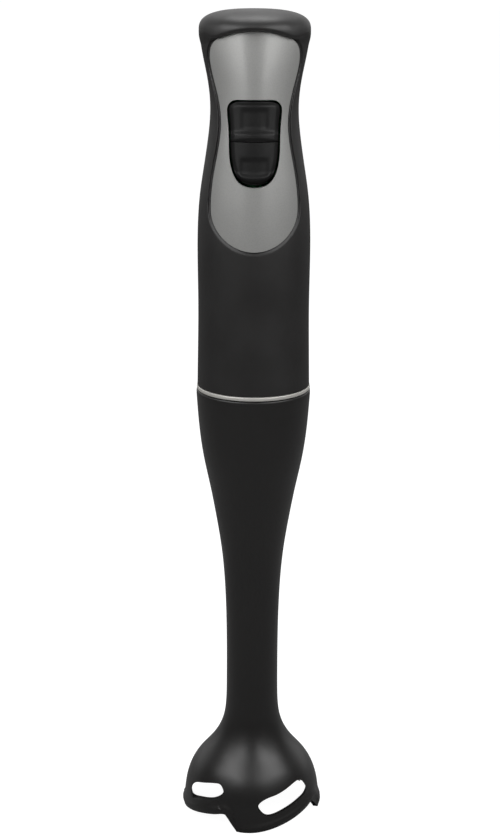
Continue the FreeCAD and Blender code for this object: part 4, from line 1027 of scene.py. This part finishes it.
def stage():
    """The plain pale floor."""
    floor = bpy.data.objects.new("floor", bpy.data.meshes.new("floor"))
    corners = [(x * FLOOR_REACH, y * FLOOR_REACH, 0)
               for x, y in ((-1, -1), (1, -1), (1, 1), (-1, 1))]
    floor.data.from_pydata(corners, [], [(0, 1, 2, 3)])
    bpy.context.scene.collection.objects.link(floor)
    material = bpy.data.materials.new("pale_floor")
    material.use_nodes = True
    tree = material.node_tree
    tree.nodes.clear()
    output = tree.nodes.new("ShaderNodeOutputMaterial")
    matt = tree.nodes.new("ShaderNodeBsdfDiffuse")
    matt.inputs["Color"].default_value = FLOOR_TONE
    glow = tree.nodes.new("ShaderNodeEmission")
    glow.inputs["Strength"].default_value = FLOOR_GLOW
    both = tree.nodes.new("ShaderNodeAddShader")
    tree.links.new(matt.outputs[0], both.inputs[0])
    tree.links.new(glow.outputs[0], both.inputs[1])
    shown_to_camera(tree, both, matt, output)
    floor.data.materials.append(material)


def surroundings():
    """A white room: brighter behind the object than in front, and plain white to the camera."""
    world = bpy.data.worlds.new("studio")
    world.use_nodes = True
    tree = world.node_tree
    tree.nodes.clear()
    output = tree.nodes.new("ShaderNodeOutputWorld")
    around = tree.nodes.new("ShaderNodeTexCoord")
    split = tree.nodes.new("ShaderNodeSeparateXYZ")
    level = tree.nodes.new("ShaderNodeMapRange")
    level.interpolation_type = "SMOOTHSTEP"
    names = ("From Min", "From Max", "To Min", "To Max")
    for name, value in zip(names, ROOM_SPAN + ROOM_LEVELS):
        level.inputs[name].default_value = value
    lit = tree.nodes.new("ShaderNodeBackground")
    plain = tree.nodes.new("ShaderNodeBackground")
    plain.inputs["Color"].default_value = (1, 1, 1, 1)
    tree.links.new(around.outputs["Generated"], split.inputs[0])
    tree.links.new(split.outputs["Y"], level.inputs["Value"])
    tree.links.new(level.outputs["Result"], lit.inputs["Strength"])
    shown_to_camera(tree, plain, lit, output)
    bpy.context.scene.world = world


def softbox(name, azimuth, elevation, distance, width, height, power, target):
    """An area light; azimuth 0 is in front of the object, and 90 to its right."""
    data = bpy.data.lights.new(name, "AREA")
    data.shape = "RECTANGLE"
    data.size = width
    data.size_y = height
    data.energy = power
    turn, lift = math.radians(azimuth), math.radians(elevation)
    way = Vector((math.sin(turn) * math.cos(lift), -math.cos(turn) * math.cos(lift),
                  math.sin(lift)))
    light = bpy.data.objects.new(name, data)
    light.location = Vector((0, 0, target)) + way * distance
    light.rotation_euler = way.to_track_quat("Z", "Y").to_euler()
    bpy.context.scene.collection.objects.link(light)


def camera():
    """Just above the object's top, in front of it and looking down on it."""
    data = bpy.data.cameras.new("camera")
    data.sensor_width = CAMERA_SENSOR
    data.lens = CAMERA_LENS
    data.clip_start, data.clip_end = CAMERA_CLIP
    made = bpy.data.objects.new("camera", data)
    tilt, roll = math.radians(90 - CAMERA_DOWN), math.radians(CAMERA_ROLL)
    made.matrix_world = (Matrix.Translation(CAMERA_PLACE) @ Matrix.Rotation(tilt, 4, "X")
                         @ Matrix.Rotation(roll, 4, "Z"))
    bpy.context.scene.collection.objects.link(made)
    bpy.context.scene.camera = made
    bpy.context.scene.view_settings.view_transform = "Standard"


# ---------------------------------------------------------------- the whole

materials = make_materials()
for part in frame["record"]["subparts"]:
    node = frame["nodes"][part["node"]]
    node.data.materials.clear()
    node.data.materials.append(materials[part["material_slot"]])

wand_shell(materials["black_plastic"])
handle_shells(materials["handle_plastic"])
panel(materials["grey_panel"])
button_cap("low", materials["button_rubber"])
button_cap("high", materials["button_rubber"])
button_springs(materials["steel"])
trim_band(materials["chrome"])
cord_sleeve(materials["rubber"])
stage()
surroundings()
for light_name, light_values in LIGHTS.items():
    softbox(light_name, *light_values)
camera()
